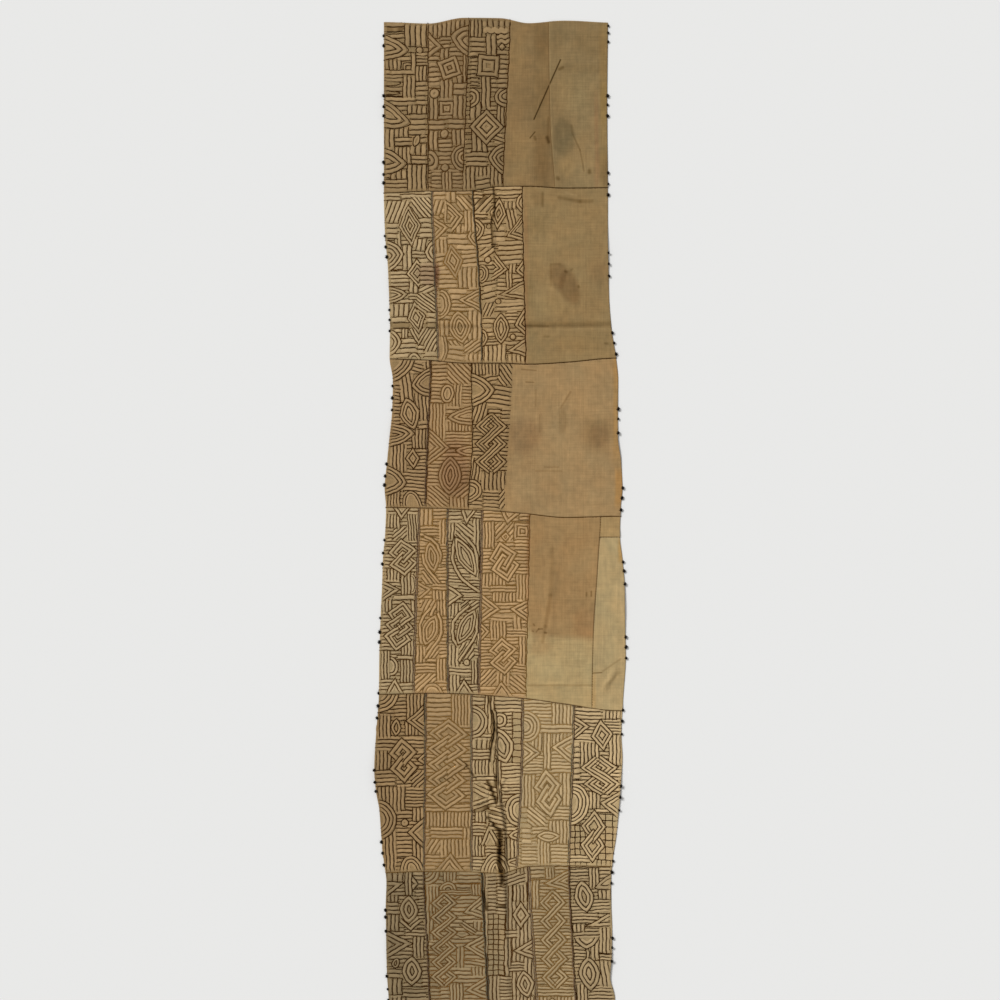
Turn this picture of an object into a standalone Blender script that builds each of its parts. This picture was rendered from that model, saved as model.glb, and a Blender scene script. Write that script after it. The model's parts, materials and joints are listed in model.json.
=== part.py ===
"""Kuba raffia cloth: six rows of woven raffia sewn end to end, lying flat with its face up.

Metres, +Z up. The cloth lies on the plane z = 0 and is centred on the origin. In the tables,
"down" is the distance below the top end of the cloth and "across" runs to the right of its
middle line. Each sewn piece is one sheet, and at every seam one piece laps over the next.
"""

from collections import namedtuple

import bmesh
import bpy
import numpy as np

THICKNESS = 0.0015
GAP = 0.0003
LAYER = THICKNESS + GAP
MIDDLE_DOWN = 1.4335  # the point halfway down the cloth, which lies at y = 0

LAP = 0.010  # how far a piece runs on under the piece that is sewn over it
LAP_ROOM = 0.002  # level stretch of the upper piece past that hidden edge
RAMP = 0.012  # length over which the upper piece comes down again

CELL = 0.028  # distance between the sheets' section lines
EDGE_ROOM = 0.008  # least way from a straight section line to the furthest point of an edge
KEPT_ROOM = 0.010  # least way from an ordinary section line to one that has its own place
NEAREST = 0.0015  # least way between two section lines where an edge presses on them
PLEAT_CELL = 0.0056  # distance between section lines across the pleat
PLEAT_SPAN = (-0.050, 0.040)  # across, the band that the pleat moves in
NORMAL_STEP = 0.0005
SETTLING_ROUNDS = 8
PROBES = 60
CREASE_TAPER = 4  # how abruptly a crease dies out at its ends

Section = namedtuple("Section", "down left right")
Seam = namedtuple("Seam", "name left a b middle c d right")
Station = namedtuple("Station", "down across height width lean")
Crease = namedtuple("Crease", "start end height width")
Wrinkle = namedtuple("Wrinkle", "reach_across reach_down height width")
EdgeLift = namedtuple("EdgeLift", "side down half_length reach height")
SideSeam = namedtuple("SideSeam", "down across")
Piece = namedtuple(
    "Piece", "name top bottom left right colour extra_down extra_across left_offsets right_offsets"
)
Line = namedtuple("Line", "anchor value")

# Half widths of the cloth to the left and right of its middle line.
OUTLINE = (
    Section(0.000, 0.325, 0.302),
    Section(0.240, 0.325, 0.300),
    Section(0.480, 0.325, 0.302),
    Section(0.600, 0.322, 0.302),
    Section(0.690, 0.314, 0.304),
    Section(0.760, 0.311, 0.305),
    Section(0.862, 0.308, 0.312),
    Section(0.945, 0.309, 0.325),
    Section(1.010, 0.300, 0.331),
    Section(1.095, 0.302, 0.330),
    Section(1.165, 0.309, 0.330),
    Section(1.235, 0.316, 0.339),
    Section(1.313, 0.323, 0.343),
    Section(1.365, 0.319, 0.338),
    Section(1.445, 0.322, 0.336),
    Section(1.510, 0.328, 0.343),
    Section(1.580, 0.330, 0.349),
    Section(1.665, 0.334, 0.350),
    Section(1.785, 0.338, 0.352),
    Section(1.885, 0.339, 0.346),
    Section(2.000, 0.347, 0.340),
    Section(2.065, 0.351, 0.343),
    Section(2.100, 0.352, 0.341),
    Section(2.160, 0.347, 0.337),
    Section(2.210, 0.338, 0.333),
    Section(2.290, 0.332, 0.325),
    Section(2.350, 0.326, 0.316),
    Section(2.416, 0.318, 0.311),
    Section(2.486, 0.320, 0.312),
    Section(2.545, 0.319, 0.314),
    Section(2.620, 0.318, 0.313),
    Section(2.680, 0.316, 0.309),
    Section(2.740, 0.312, 0.322),
    Section(2.800, 0.314, 0.318),
    Section(2.873, 0.316, 0.316),
)

# How far down each end and seam lies, at seven places across the cloth.
ACROSS = (-0.325, -0.200, -0.100, 0.000, 0.080, 0.180, 0.330)
SEAMS = (
    Seam("top", 0.006, 0.010, -0.006, -0.005, 0.009, 0.002, 0.008),
    Seam("1_to_2", 0.484, 0.479, 0.479, 0.466, 0.465, 0.470, 0.469),
    Seam("2_to_3", 0.948, 0.952, 0.960, 0.960, 0.963, 0.958, 0.946),
    Seam("3_to_4", 1.364, 1.366, 1.370, 1.375, 1.382, 1.392, 1.389),
    Seam("4_to_5", 1.887, 1.884, 1.886, 1.893, 1.900, 1.914, 1.933),
    Seam("5_to_6", 2.386, 2.383, 2.384, 2.388, 2.369, 2.367, 2.369),
    Seam("end", 2.864, 2.870, 2.870, 2.873, 2.870, 2.867, 2.862),
)

# Where the side pieces of the first and fourth rows are sewn on.
SIDE_SEAM_1 = (SideSeam(0.000, 0.137), SideSeam(0.300, 0.142), SideSeam(0.480, 0.154))
SIDE_SEAM_4 = (
    SideSeam(1.380, 0.281),
    SideSeam(1.515, 0.274),
    SideSeam(1.745, 0.260),
    SideSeam(1.930, 0.257),
)
CORNER_SEAM_DOWN = 1.4475

# The pleat, from the seam above the fifth row down into the sixth. It leans to the right.
PLEAT = (
    Station(1.898, -0.0200, 0.0000, 0.010, 0.0),
    Station(1.925, -0.0195, 0.0045, 0.010, 0.3),
    Station(1.960, -0.0185, 0.0065, 0.012, 0.6),
    Station(2.060, -0.0180, 0.0080, 0.013, 0.6),
    Station(2.120, -0.0210, 0.0110, 0.018, 0.6),
    Station(2.175, -0.0170, 0.0140, 0.022, 0.6),
    Station(2.225, -0.0060, 0.0125, 0.018, 0.6),
    Station(2.275, 0.0010, 0.0120, 0.015, 0.6),
    Station(2.340, 0.0050, 0.0105, 0.016, 0.3),
    Station(2.410, 0.0060, 0.0090, 0.017, 0.3),
    Station(2.486, 0.0080, 0.0085, 0.015, 0.4),
    Station(2.660, 0.0160, 0.0045, 0.015, 0.4),
    Station(2.790, 0.0200, 0.0000, 0.015, 0.0),
)

# Wrinkles that spread from the puckered knot in the pleat.
PUCKER = (-0.018, 2.178)  # across, down
WRINKLES = (
    Wrinkle(-0.052, -0.050, 0.0040, 0.007),
    Wrinkle(-0.062, -0.016, 0.0035, 0.007),
    Wrinkle(-0.058, 0.022, 0.0035, 0.007),
    Wrinkle(0.034, -0.062, 0.0045, 0.008),
    Wrinkle(0.050, -0.030, 0.0035, 0.007),
    Wrinkle(0.048, 0.020, 0.0030, 0.007),
)

# Old fold lines and soft ridges elsewhere. Ends are given as (across, down).
CREASES = (
    Crease((-0.020, 0.500), (-0.019, 0.672), 0.0045, 0.008),
    Crease((-0.300, 0.856), (0.310, 0.850), 0.0035, 0.011),
    Crease((0.196, 1.040), (0.172, 1.092), 0.0025, 0.009),
    Crease((0.109, 1.085), (0.109, 1.168), 0.0025, 0.009),
    Crease((0.150, 1.500), (0.132, 1.780), 0.0035, 0.022),
    Crease((0.072, 1.862), (0.230, 1.864), 0.0030, 0.010),
    Crease((0.288, 1.880), (0.330, 1.806), 0.0045, 0.012),
)

# Places where the left edge (side -1) or the right edge (side 1) curls up a little.
EDGE_LIFTS = (
    EdgeLift(-1, 0.240, 0.110, 0.070, 0.0035),
    EdgeLift(-1, 0.740, 0.090, 0.060, 0.0030),
    EdgeLift(1, 0.650, 0.110, 0.070, 0.0035),
    EdgeLift(1, 1.190, 0.090, 0.060, 0.0035),
    EdgeLift(-1, 1.160, 0.100, 0.070, 0.0040),
    EdgeLift(1, 1.640, 0.120, 0.080, 0.0045),
    EdgeLift(-1, 2.110, 0.130, 0.090, 0.0060),
    EdgeLift(1, 2.170, 0.110, 0.070, 0.0040),
    EdgeLift(1, 2.640, 0.110, 0.070, 0.0045),
    EdgeLift(-1, 2.600, 0.110, 0.070, 0.0035),
)

# Section lines that the creases need, besides the regular ones.
ROWS_OF_CREASES = {
    "panel_2": (0.834, 0.843, 0.853, 0.862, 0.872),
    "panel_3": (1.040, 1.066, 1.092),
    "panel_4": (1.846, 1.855, 1.863, 1.871),
    "panel_4_side": (1.806, 1.830, 1.855, 1.880),
    "panel_5": (1.898, 1.912, 1.926, *np.arange(2.100, 2.250, 0.011)),
    "panel_6": (2.391,),
}
COLUMNS_OF_CREASES = (0.100, 0.109, 0.118, 0.130, 0.141, 0.152, 0.163)

TAN = (0.27, 0.19, 0.10)
GREY_TAN = (0.22, 0.165, 0.09)
PALE_TAN = (0.38, 0.29, 0.165)
EARTH_TAN = (0.28, 0.20, 0.115)


def smooth(places, values, at):
    """A curve through the given values that never runs past them between two places."""
    places, values = np.asarray(places, float), np.asarray(values, float)
    step = np.diff(places)
    rise = np.diff(values) / step
    slope = np.zeros_like(values)
    product = rise[:-1] * rise[1:]
    both = np.abs(rise[:-1]) + np.abs(rise[1:])
    turning = product <= 0
    slope[1:-1] = np.where(turning, 0.0, 2 * product * np.sign(rise[1:]) / np.where(turning, 1, both))
    at = np.clip(at, places[0], places[-1])
    i = np.clip(np.searchsorted(places, at) - 1, 0, len(step) - 1)
    t = (at - places[i]) / step[i]
    start, end = values[i], values[i + 1]
    bend = t * (1 - t) * step[i]
    eased = t * t * (3 - 2 * t)
    return start + (end - start) * eased + bend * ((1 - t) * slope[i] - t * slope[i + 1])


def column(table, name):
    return [getattr(row, name) for row in table]


def outline(side):
    """The left edge (side -1) or the right edge (side 1), as a function of the way down."""
    values = column(OUTLINE, "left" if side < 0 else "right")
    return lambda down: side * smooth(column(OUTLINE, "down"), values, down)


def seam_line(name, shift=0.0):
    values = next(seam[1:] for seam in SEAMS if seam.name == name)
    return lambda across: smooth(ACROSS, values, across) + shift


def side_seam(table, shift=0.0):
    return lambda down: smooth(column(table, "down"), column(table, "across"), down) + shift


def level(down):
    return lambda across: np.full_like(across, down)


def ridge(share):
    """Cross-section of a fold: 1 on its crest, 0 from its foot on."""
    return np.cos(np.clip(share, -1, 1) * np.pi / 2) ** 2


def crease_height(across, down, crease):
    start, end = np.array(crease.start), np.array(crease.end)
    run = end - start
    along = ((across - start[0]) * run[0] + (down - start[1]) * run[1]) / (run @ run)
    aside = ((across - start[0]) * run[1] - (down - start[1]) * run[0]) / np.hypot(*run)
    to_end = np.clip(np.abs(2 * along - 1), 0, 1)
    return crease.height * ridge(aside / crease.width) * ridge(to_end**CREASE_TAPER)


def wrinkle_height(across, down, wrinkle):
    start = np.array(PUCKER)
    end = start + (wrinkle.reach_across, wrinkle.reach_down)
    return crease_height(across, down, Crease(tuple(start), tuple(end), wrinkle.height, wrinkle.width))


def pleat_height(across, down):
    places = column(PLEAT, "down")
    crest = smooth(places, column(PLEAT, "across"), down)
    height = smooth(places, column(PLEAT, "height"), down)
    width = smooth(places, column(PLEAT, "width"), down)
    return height * ridge((across - crest) / width)


def edge_lift_height(across, down, lift):
    inside = lift.side * (outline(lift.side)(down) - across)
    risen = np.clip(1 - inside / lift.reach, 0, None) ** 2
    return lift.height * risen * ridge((down - lift.down) / lift.half_length)


def ground(across, down):
    """The underside of the lowest layer of cloth, as an array of points."""
    pleat = pleat_height(across, down)
    lean = smooth(column(PLEAT, "down"), column(PLEAT, "lean"), down)
    height = pleat
    for wrinkle in WRINKLES:
        height = np.maximum(height, wrinkle_height(across, down, wrinkle))
    for crease in CREASES:
        height = np.maximum(height, crease_height(across, down, crease))
    for lift in EDGE_LIFTS:
        height = np.maximum(height, edge_lift_height(across, down, lift))
    return np.stack([across + lean * pleat, MIDDLE_DOWN - down, height], axis=-1)


def ground_normal(across, down):
    along_x = ground(across + NORMAL_STEP, down) - ground(across - NORMAL_STEP, down)
    along_y = ground(across, down - NORMAL_STEP) - ground(across, down + NORMAL_STEP)
    normal = np.cross(along_x, along_y)
    return normal / np.linalg.norm(normal, axis=-1, keepdims=True)


def cover(piece, across, down):
    """1 over a piece and just past it, and 0 from one ramp further out."""
    insides = (
        down - piece.top(across),
        piece.bottom(across) - down,
        across - piece.left(down),
        piece.right(down) - across,
    )
    shares = [np.clip((inside + LAP_ROOM + RAMP) / RAMP, 0, 1) for inside in insides]
    return np.prod(shares, axis=0)


def lines_between(lowest, highest, places, kept=(), low_offsets=(), high_offsets=()):
    """Section lines from one edge to the other: some follow an edge, the others are straight.

    A kept place pushes out the ordinary places that lie close to it.
    """
    near = {p for p in places if any(abs(p - k) < KEPT_ROOM for k in kept)}
    start = lowest + max(low_offsets, default=0.0) + EDGE_ROOM
    end = highest - max(high_offsets, default=0.0) - EDGE_ROOM
    straight = [p for p in sorted({*places} - near | {*kept}) if start < p < end]
    return (
        [Line("low", 0.0), *(Line("low", offset) for offset in sorted(low_offsets))]
        + [Line("straight", p) for p in straight]
        + [Line("high", offset) for offset in sorted(high_offsets, reverse=True)]
        + [Line("high", 0.0)]
    )


def placed(lines, low, high):
    """The lines' positions, one array for each line. Straight lines give way to both edges."""
    head = max(line.value for line in lines if line.anchor == "low")
    tail = max(line.value for line in lines if line.anchor == "high")
    straight = [i for i, line in enumerate(lines) if line.anchor == "straight"]
    positions = []
    for i, line in enumerate(lines):
        if line.anchor == "low":
            positions.append(low[i] + line.value)
        elif line.anchor == "high":
            positions.append(high[i] - line.value)
        else:
            least = low[i] + head + NEAREST * (i - straight[0] + 1)
            most = high[i] - tail - NEAREST * (straight[-1] - i + 1)
            positions.append(np.clip(line.value, least, most))
    return positions


def grid(piece):
    """Ways across and down of the piece's grid points, which follow its four edges."""
    probe_across = np.linspace(ACROSS[0], ACROSS[-1], PROBES)
    probe_down = np.linspace(piece.top(probe_across).min(), piece.bottom(probe_across).max(), PROBES)
    lefts, rights = piece.left(probe_down), piece.right(probe_down)
    probe_across = np.linspace(lefts.min(), rights.max(), PROBES)
    tops, bottoms = piece.top(probe_across), piece.bottom(probe_across)
    rows = lines_between(
        tops.min(),
        bottoms.max(),
        np.arange(0.0, 2 * MIDDLE_DOWN, CELL),
        piece.extra_down,
        high_offsets=(LAP + LAP_ROOM, LAP + LAP_ROOM + RAMP),
    )
    coarse = [x for x in np.arange(-12, 13) * CELL if not PLEAT_SPAN[0] < x < PLEAT_SPAN[1]]
    columns = lines_between(
        lefts.min(),
        rights.max(),
        coarse,
        (*np.arange(*PLEAT_SPAN, PLEAT_CELL), *COLUMNS_OF_CREASES, *piece.extra_across),
        piece.left_offsets,
        piece.right_offsets,
    )
    down = np.full((len(rows), len(columns)), tops.mean())
    across = np.zeros_like(down)
    for _ in range(SETTLING_ROUNDS):
        left, right = piece.left(down).T, piece.right(down).T
        across = np.stack(placed(columns, left, right), axis=1)
        top, bottom = piece.top(across), piece.bottom(across)
        down = np.stack(placed(rows, top, bottom))
    return across, down


def cloth_material(name, colour):
    material = bpy.data.materials.new(name)
    material.use_nodes = True
    shader = material.node_tree.nodes["Principled BSDF"]
    shader.inputs["Base Color"].default_value = (*colour, 1.0)
    shader.inputs["Roughness"].default_value = 0.85
    shader.inputs["Metallic"].default_value = 0.0
    return material


def sheet(piece, below):
    """One sewn piece: its underside as a grid of quads, thickened upwards."""
    across, down = grid(piece)
    layers = sum((cover(other, across, down) for other in below), np.zeros_like(across))
    points = ground(across, down) + ground_normal(across, down) * (layers * LAYER)[..., None]
    mesh = bpy.data.meshes.new(piece.name)
    form = bmesh.new()
    corners = [[form.verts.new(point) for point in row] for row in points]
    for upper, lower in zip(corners, corners[1:]):
        for i in range(len(upper) - 1):
            form.faces.new((upper[i], lower[i], lower[i + 1], upper[i + 1]))
    form.to_mesh(mesh)
    form.free()
    mesh.shade_smooth()
    mesh.materials.append(cloth_material(piece.name, piece.colour))
    body = bpy.data.objects.new(piece.name, mesh)
    bpy.context.scene.collection.objects.link(body)
    solidify = body.modifiers.new("thickness", "SOLIDIFY")
    solidify.thickness = THICKNESS
    solidify.offset = 1.0
    solidify.use_even_offset = True


def row_piece(name, above, under, colour, **changes):
    """A piece between two seams. Its top edge is hidden under the row above."""
    piece = Piece(
        name,
        top=seam_line(above, 0.0 if above == "top" else -LAP),
        bottom=seam_line(under),
        left=outline(-1),
        right=outline(1),
        colour=colour,
        extra_down=ROWS_OF_CREASES.get(name, ()),
        extra_across=(),
        left_offsets=(),
        right_offsets=(),
    )
    return piece._replace(**changes)


def pieces():
    """The sewn pieces from the lowest layer to the topmost one."""
    beside_lap = (LAP + LAP_ROOM, LAP + LAP_ROOM + RAMP)
    both_sides = (-LAP - LAP_ROOM - RAMP, -LAP - LAP_ROOM, LAP_ROOM, LAP_ROOM + RAMP)
    strip = dict(left=side_seam(SIDE_SEAM_4, -LAP))
    strip_at = SIDE_SEAM_4[0].across
    corner_rows = tuple(CORNER_SEAM_DOWN + offset for offset in both_sides)
    return (
        row_piece("panel_6", "5_to_6", "end", GREY_TAN),
        row_piece("panel_5", "4_to_5", "5_to_6", TAN),
        row_piece(
            "panel_4_side", "3_to_4", "4_to_5", PALE_TAN, top=level(CORNER_SEAM_DOWN - LAP), **strip
        ),
        row_piece(
            "panel_4_corner", "3_to_4", "4_to_5", PALE_TAN, bottom=level(CORNER_SEAM_DOWN), **strip
        ),
        row_piece(
            "panel_4",
            "3_to_4",
            "4_to_5",
            TAN,
            right=side_seam(SIDE_SEAM_4),
            right_offsets=beside_lap,
            extra_down=(*ROWS_OF_CREASES["panel_4"], *corner_rows),
        ),
        row_piece(
            "panel_3",
            "2_to_3",
            "3_to_4",
            TAN,
            extra_across=tuple(strip_at + offset for offset in both_sides),
        ),
        row_piece("panel_2", "1_to_2", "2_to_3", EARTH_TAN),
        row_piece("panel_1", "top", "1_to_2", GREY_TAN, right=side_seam(SIDE_SEAM_1, LAP)),
        row_piece(
            "panel_1_side",
            "top",
            "1_to_2",
            EARTH_TAN,
            left=side_seam(SIDE_SEAM_1),
            left_offsets=beside_lap,
        ),
    )


def main():
    for thing in list(bpy.data.objects):
        bpy.data.objects.remove(thing)
    below = []
    for piece in pieces():
        sheet(piece, below)
        below.append(piece)


main()
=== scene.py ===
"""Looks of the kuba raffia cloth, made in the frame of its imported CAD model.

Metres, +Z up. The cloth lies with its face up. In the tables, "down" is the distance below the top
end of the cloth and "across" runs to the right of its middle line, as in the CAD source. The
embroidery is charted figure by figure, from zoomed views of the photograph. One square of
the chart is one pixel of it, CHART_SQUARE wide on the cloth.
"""

from __future__ import annotations

import json
import logging
import math
from dataclasses import dataclass
from enum import Enum
from typing import Callable, Iterator, Mapping, NamedTuple, Sequence

import bpy
import numpy as np
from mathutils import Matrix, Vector
from numpy.typing import NDArray

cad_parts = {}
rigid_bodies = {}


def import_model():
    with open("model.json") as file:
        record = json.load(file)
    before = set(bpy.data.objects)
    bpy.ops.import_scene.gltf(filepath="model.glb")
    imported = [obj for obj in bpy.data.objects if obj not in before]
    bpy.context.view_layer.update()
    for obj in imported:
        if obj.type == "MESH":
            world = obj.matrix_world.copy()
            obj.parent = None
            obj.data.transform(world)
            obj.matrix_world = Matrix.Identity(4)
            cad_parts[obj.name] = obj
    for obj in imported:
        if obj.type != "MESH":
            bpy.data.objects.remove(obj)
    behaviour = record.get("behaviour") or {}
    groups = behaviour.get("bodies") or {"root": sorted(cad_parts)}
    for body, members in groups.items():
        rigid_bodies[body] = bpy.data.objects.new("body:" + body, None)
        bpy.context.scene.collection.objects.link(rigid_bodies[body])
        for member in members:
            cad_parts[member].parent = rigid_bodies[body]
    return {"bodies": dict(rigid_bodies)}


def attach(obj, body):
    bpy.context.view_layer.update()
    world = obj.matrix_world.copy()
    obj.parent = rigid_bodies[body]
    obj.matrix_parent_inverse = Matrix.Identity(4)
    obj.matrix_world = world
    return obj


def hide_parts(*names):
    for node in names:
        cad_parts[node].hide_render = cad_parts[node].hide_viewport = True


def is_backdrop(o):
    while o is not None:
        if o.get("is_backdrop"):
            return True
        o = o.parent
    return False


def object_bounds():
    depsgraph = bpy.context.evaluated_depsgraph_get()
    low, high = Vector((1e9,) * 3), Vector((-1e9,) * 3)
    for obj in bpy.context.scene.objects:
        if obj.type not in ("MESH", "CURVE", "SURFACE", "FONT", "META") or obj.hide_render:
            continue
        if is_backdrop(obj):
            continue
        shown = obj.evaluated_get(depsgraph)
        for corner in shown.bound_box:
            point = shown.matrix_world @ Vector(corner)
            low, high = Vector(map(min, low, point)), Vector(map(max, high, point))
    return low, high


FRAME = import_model()
CAD_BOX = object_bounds()
BODY = next(iter(FRAME["bodies"]))

Floats = NDArray[np.float64]
Flags = NDArray[np.bool_]
Curve = Callable[[Floats], Floats]
Colour = tuple[float, float, float]
Waves = tuple[float, float, float]

# Sizes shared with the CAD source
THICKNESS = 0.0015
GAP = 0.0003
LAYER = THICKNESS + GAP
MIDDLE_DOWN = 1.4335
LAP = 0.010
LAP_ROOM = 0.002
RAMP = 0.012
CREASE_TAPER = 4
NORMAL_STEP = 0.0005
SETTLING_ROUNDS = 8

# Heights of the slow waves and fine ripples of handled cloth
WAVES_HIGH = 0.00045
RIPPLES_HIGH = 0.00012

# The embroidery chart, and how its lines lie on the cloth
CHART_SQUARE = 0.0028
CELL_MARGIN = 0.9  # squares that stay free beside a dividing line or an edge of the cloth
SAMPLE = 0.36  # squares between the points at which a line is tested and cut
SHORTEST_RUN = 1.3  # squares below which a stretch of line is left out
BAND_TRIM = 0.42  # squares by which a raised band stops short of the line that crosses it
MITRE_LIMIT = 0.7  # keeps the mitre of a sharp corner short
EDGE_COVER = 0.5  # squares by which a motif hides its neighbour's border line
EDGE_SLACK = 0.02  # squares by which a line may still pass its block's edge
FLANK_POINTS = 14  # points of a rounded side
LEAST_FORM = 0.7  # squares from middle to edge below which no further form is nested
FOOT_CORNER = 0  # number of a ring's lowest corner
TOP_CORNER = 2  # number of its topmost corner
BRIDGE_ENDS = (0.2, 0.8)  # shares of a plait's stretch between which it passes over
WAVE = 0.8  # squares by which a wavy line swings to either side
WAVE_RATE = 0.9  # radians of that swing to one square
SEAM_ROOM = 0.0032  # metres that stay free beside a seam
STITCH_LIFT = 0.0004  # metres from the cloth's face to the middle of a stitch
BAND_ROOM = 0.0022  # metres by which a band is narrower than the way between its lines
BAND_SLACK = 0.00022  # metres by which a band may leave its course when it is thinned out
# Raised bands are painted lighter and greyer than the cloth under them: partly their own lighter tone,
# partly painted highlight on their raised tops
BAND_HIGHLIGHT_TINT = (1.0, 1.01, 1.06)
BAND_TONE_AND_HIGHLIGHT = 1.06
BAND_SPREAD = 0.06  # spread of the tone from one band to the next
BAND_CROWN = 0.075  # height of a band as a share of its width
BAND_SHOULDER = 0.3  # share of its width over which a band narrows towards an end
BAND_END = 0.45  # share of its width that is left at the end
BAND_POINTS = 4  # fewest sampled points of an open band
BAND_SECTION = ((-0.5, 0, 0), (-0.32, 0.75, 0), (0, 1, 0), (0.32, 0.75, 0), (0.5, 0, 0), (0, -0.2, 0))
STITCH_SECTION = ((0.5, -0.2), (0, 0.5), (-0.5, -0.2))
STITCH_SHOULDER = 0.24  # share of its length from a stitch's middle to where it starts to taper
STITCH_SPREAD = 0.14  # spread of the tone from one stitched line to the next
COUCHED_SPARE = 8  # squares by which a dividing line is drawn past its row, before it is cut
HAND_SLIP = 0.09  # spread, in squares, of how far a whole line lies beside its place
HAND_SWAY = 0.26  # squares by which lines wander slowly
HAND_SHAKE = 0.14  # squares by which they wander over shorter ways
HAND_BEND = 1.4  # radians by which that slow wandering is itself uneven
DYE_WEIGHT = 0.0055  # metres of slack that a full step of colour counts for
MARK_WARMTH = (1.0, 1.12, 1.35)  # powers of a mark's shade, which turn it a warm brown
EYE_POWER = 2.2  # turns a share of a tone as the eye sees it into one of scene values
TONE_HALF_SPAN = 0.33  # metres from the middle line to where a row's side tones hold
COLOUR_DRIFT = 0.05  # share by which the cloth's tone drifts slowly up and down
STAIN_WOBBLE = 0.12  # lobes of a stain's outline, as a share that its power divides
STAIN_TURNING = 40  # makes each stain's lobes lie another way round
SPECULAR = 0.03
KNOT_TILT = 0.3  # most radians by which a knot is tipped over
KNOT_TURN = 0.35  # most radians by which it is turned on the cloth

log = logging.getLogger("kuba_raffia_cloth")


class Section(NamedTuple):
    """Half widths of the cloth at one way down."""

    down: float
    left: float
    right: float


class Seam(NamedTuple):
    """How far down an end or seam lies, at the seven places of SEAM_PLACES."""

    name: str
    places: tuple[float, ...]


class Station(NamedTuple):
    """The main pleat at one way down."""

    down: float
    across: float
    height: float
    width: float
    lean: float


class Crease(NamedTuple):
    """A fold line from one (across, down) to another."""

    start: tuple[float, float]
    end: tuple[float, float]
    height: float
    width: float


class EdgeLift(NamedTuple):
    """A place where the left edge (side -1) or the right edge (side 1) curls up."""

    side: int
    down: float
    half_length: float
    reach: float
    height: float


class Place(NamedTuple):
    """One point of a line that runs down the cloth."""

    down: float
    across: float


OUTLINE = (
    Section(0.000, 0.325, 0.302),
    Section(0.240, 0.325, 0.300),
    Section(0.480, 0.325, 0.302),
    Section(0.600, 0.322, 0.302),
    Section(0.690, 0.314, 0.304),
    Section(0.760, 0.311, 0.305),
    Section(0.862, 0.308, 0.312),
    Section(0.945, 0.309, 0.325),
    Section(1.010, 0.300, 0.331),
    Section(1.095, 0.302, 0.330),
    Section(1.165, 0.309, 0.330),
    Section(1.235, 0.316, 0.339),
    Section(1.313, 0.323, 0.343),
    Section(1.365, 0.319, 0.338),
    Section(1.445, 0.322, 0.336),
    Section(1.510, 0.328, 0.343),
    Section(1.580, 0.330, 0.349),
    Section(1.665, 0.334, 0.350),
    Section(1.785, 0.338, 0.352),
    Section(1.885, 0.339, 0.346),
    Section(2.000, 0.347, 0.340),
    Section(2.065, 0.351, 0.343),
    Section(2.100, 0.352, 0.341),
    Section(2.160, 0.347, 0.337),
    Section(2.210, 0.338, 0.333),
    Section(2.290, 0.332, 0.325),
    Section(2.350, 0.326, 0.316),
    Section(2.416, 0.318, 0.311),
    Section(2.486, 0.320, 0.312),
    Section(2.545, 0.319, 0.314),
    Section(2.620, 0.318, 0.313),
    Section(2.680, 0.316, 0.309),
    Section(2.740, 0.312, 0.322),
    Section(2.800, 0.314, 0.318),
    Section(2.873, 0.316, 0.316),
)

SEAM_PLACES = (-0.325, -0.200, -0.100, 0.000, 0.080, 0.180, 0.330)
SEAMS = (
    Seam("top", (0.006, 0.010, -0.006, -0.005, 0.009, 0.002, 0.008)),
    Seam("1_to_2", (0.484, 0.479, 0.479, 0.466, 0.465, 0.470, 0.469)),
    Seam("2_to_3", (0.948, 0.952, 0.960, 0.960, 0.963, 0.958, 0.946)),
    Seam("3_to_4", (1.364, 1.366, 1.370, 1.375, 1.382, 1.392, 1.389)),
    Seam("4_to_5", (1.887, 1.884, 1.886, 1.893, 1.900, 1.914, 1.933)),
    Seam("5_to_6", (2.386, 2.383, 2.384, 2.388, 2.369, 2.367, 2.369)),
    Seam("end", (2.864, 2.870, 2.870, 2.873, 2.870, 2.867, 2.862)),
)
SIDE_SEAM_1 = (Place(0.000, 0.137), Place(0.300, 0.142), Place(0.480, 0.154))
SIDE_SEAM_4 = (Place(1.380, 0.281), Place(1.515, 0.274), Place(1.745, 0.260), Place(1.930, 0.257))
CORNER_SEAM_DOWN = 1.4475

PLEAT = (
    Station(1.898, -0.0200, 0.0000, 0.010, 0.0),
    Station(1.925, -0.0195, 0.0045, 0.010, 0.3),
    Station(1.960, -0.0185, 0.0065, 0.012, 0.6),
    Station(2.060, -0.0180, 0.0080, 0.013, 0.6),
    Station(2.120, -0.0210, 0.0110, 0.018, 0.6),
    Station(2.175, -0.0170, 0.0140, 0.022, 0.6),
    Station(2.225, -0.0060, 0.0125, 0.018, 0.6),
    Station(2.275, 0.0010, 0.0120, 0.015, 0.6),
    Station(2.340, 0.0050, 0.0105, 0.016, 0.3),
    Station(2.410, 0.0060, 0.0090, 0.017, 0.3),
    Station(2.486, 0.0080, 0.0085, 0.015, 0.4),
    Station(2.660, 0.0160, 0.0045, 0.015, 0.4),
    Station(2.790, 0.0200, 0.0000, 0.015, 0.0),
)

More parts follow.
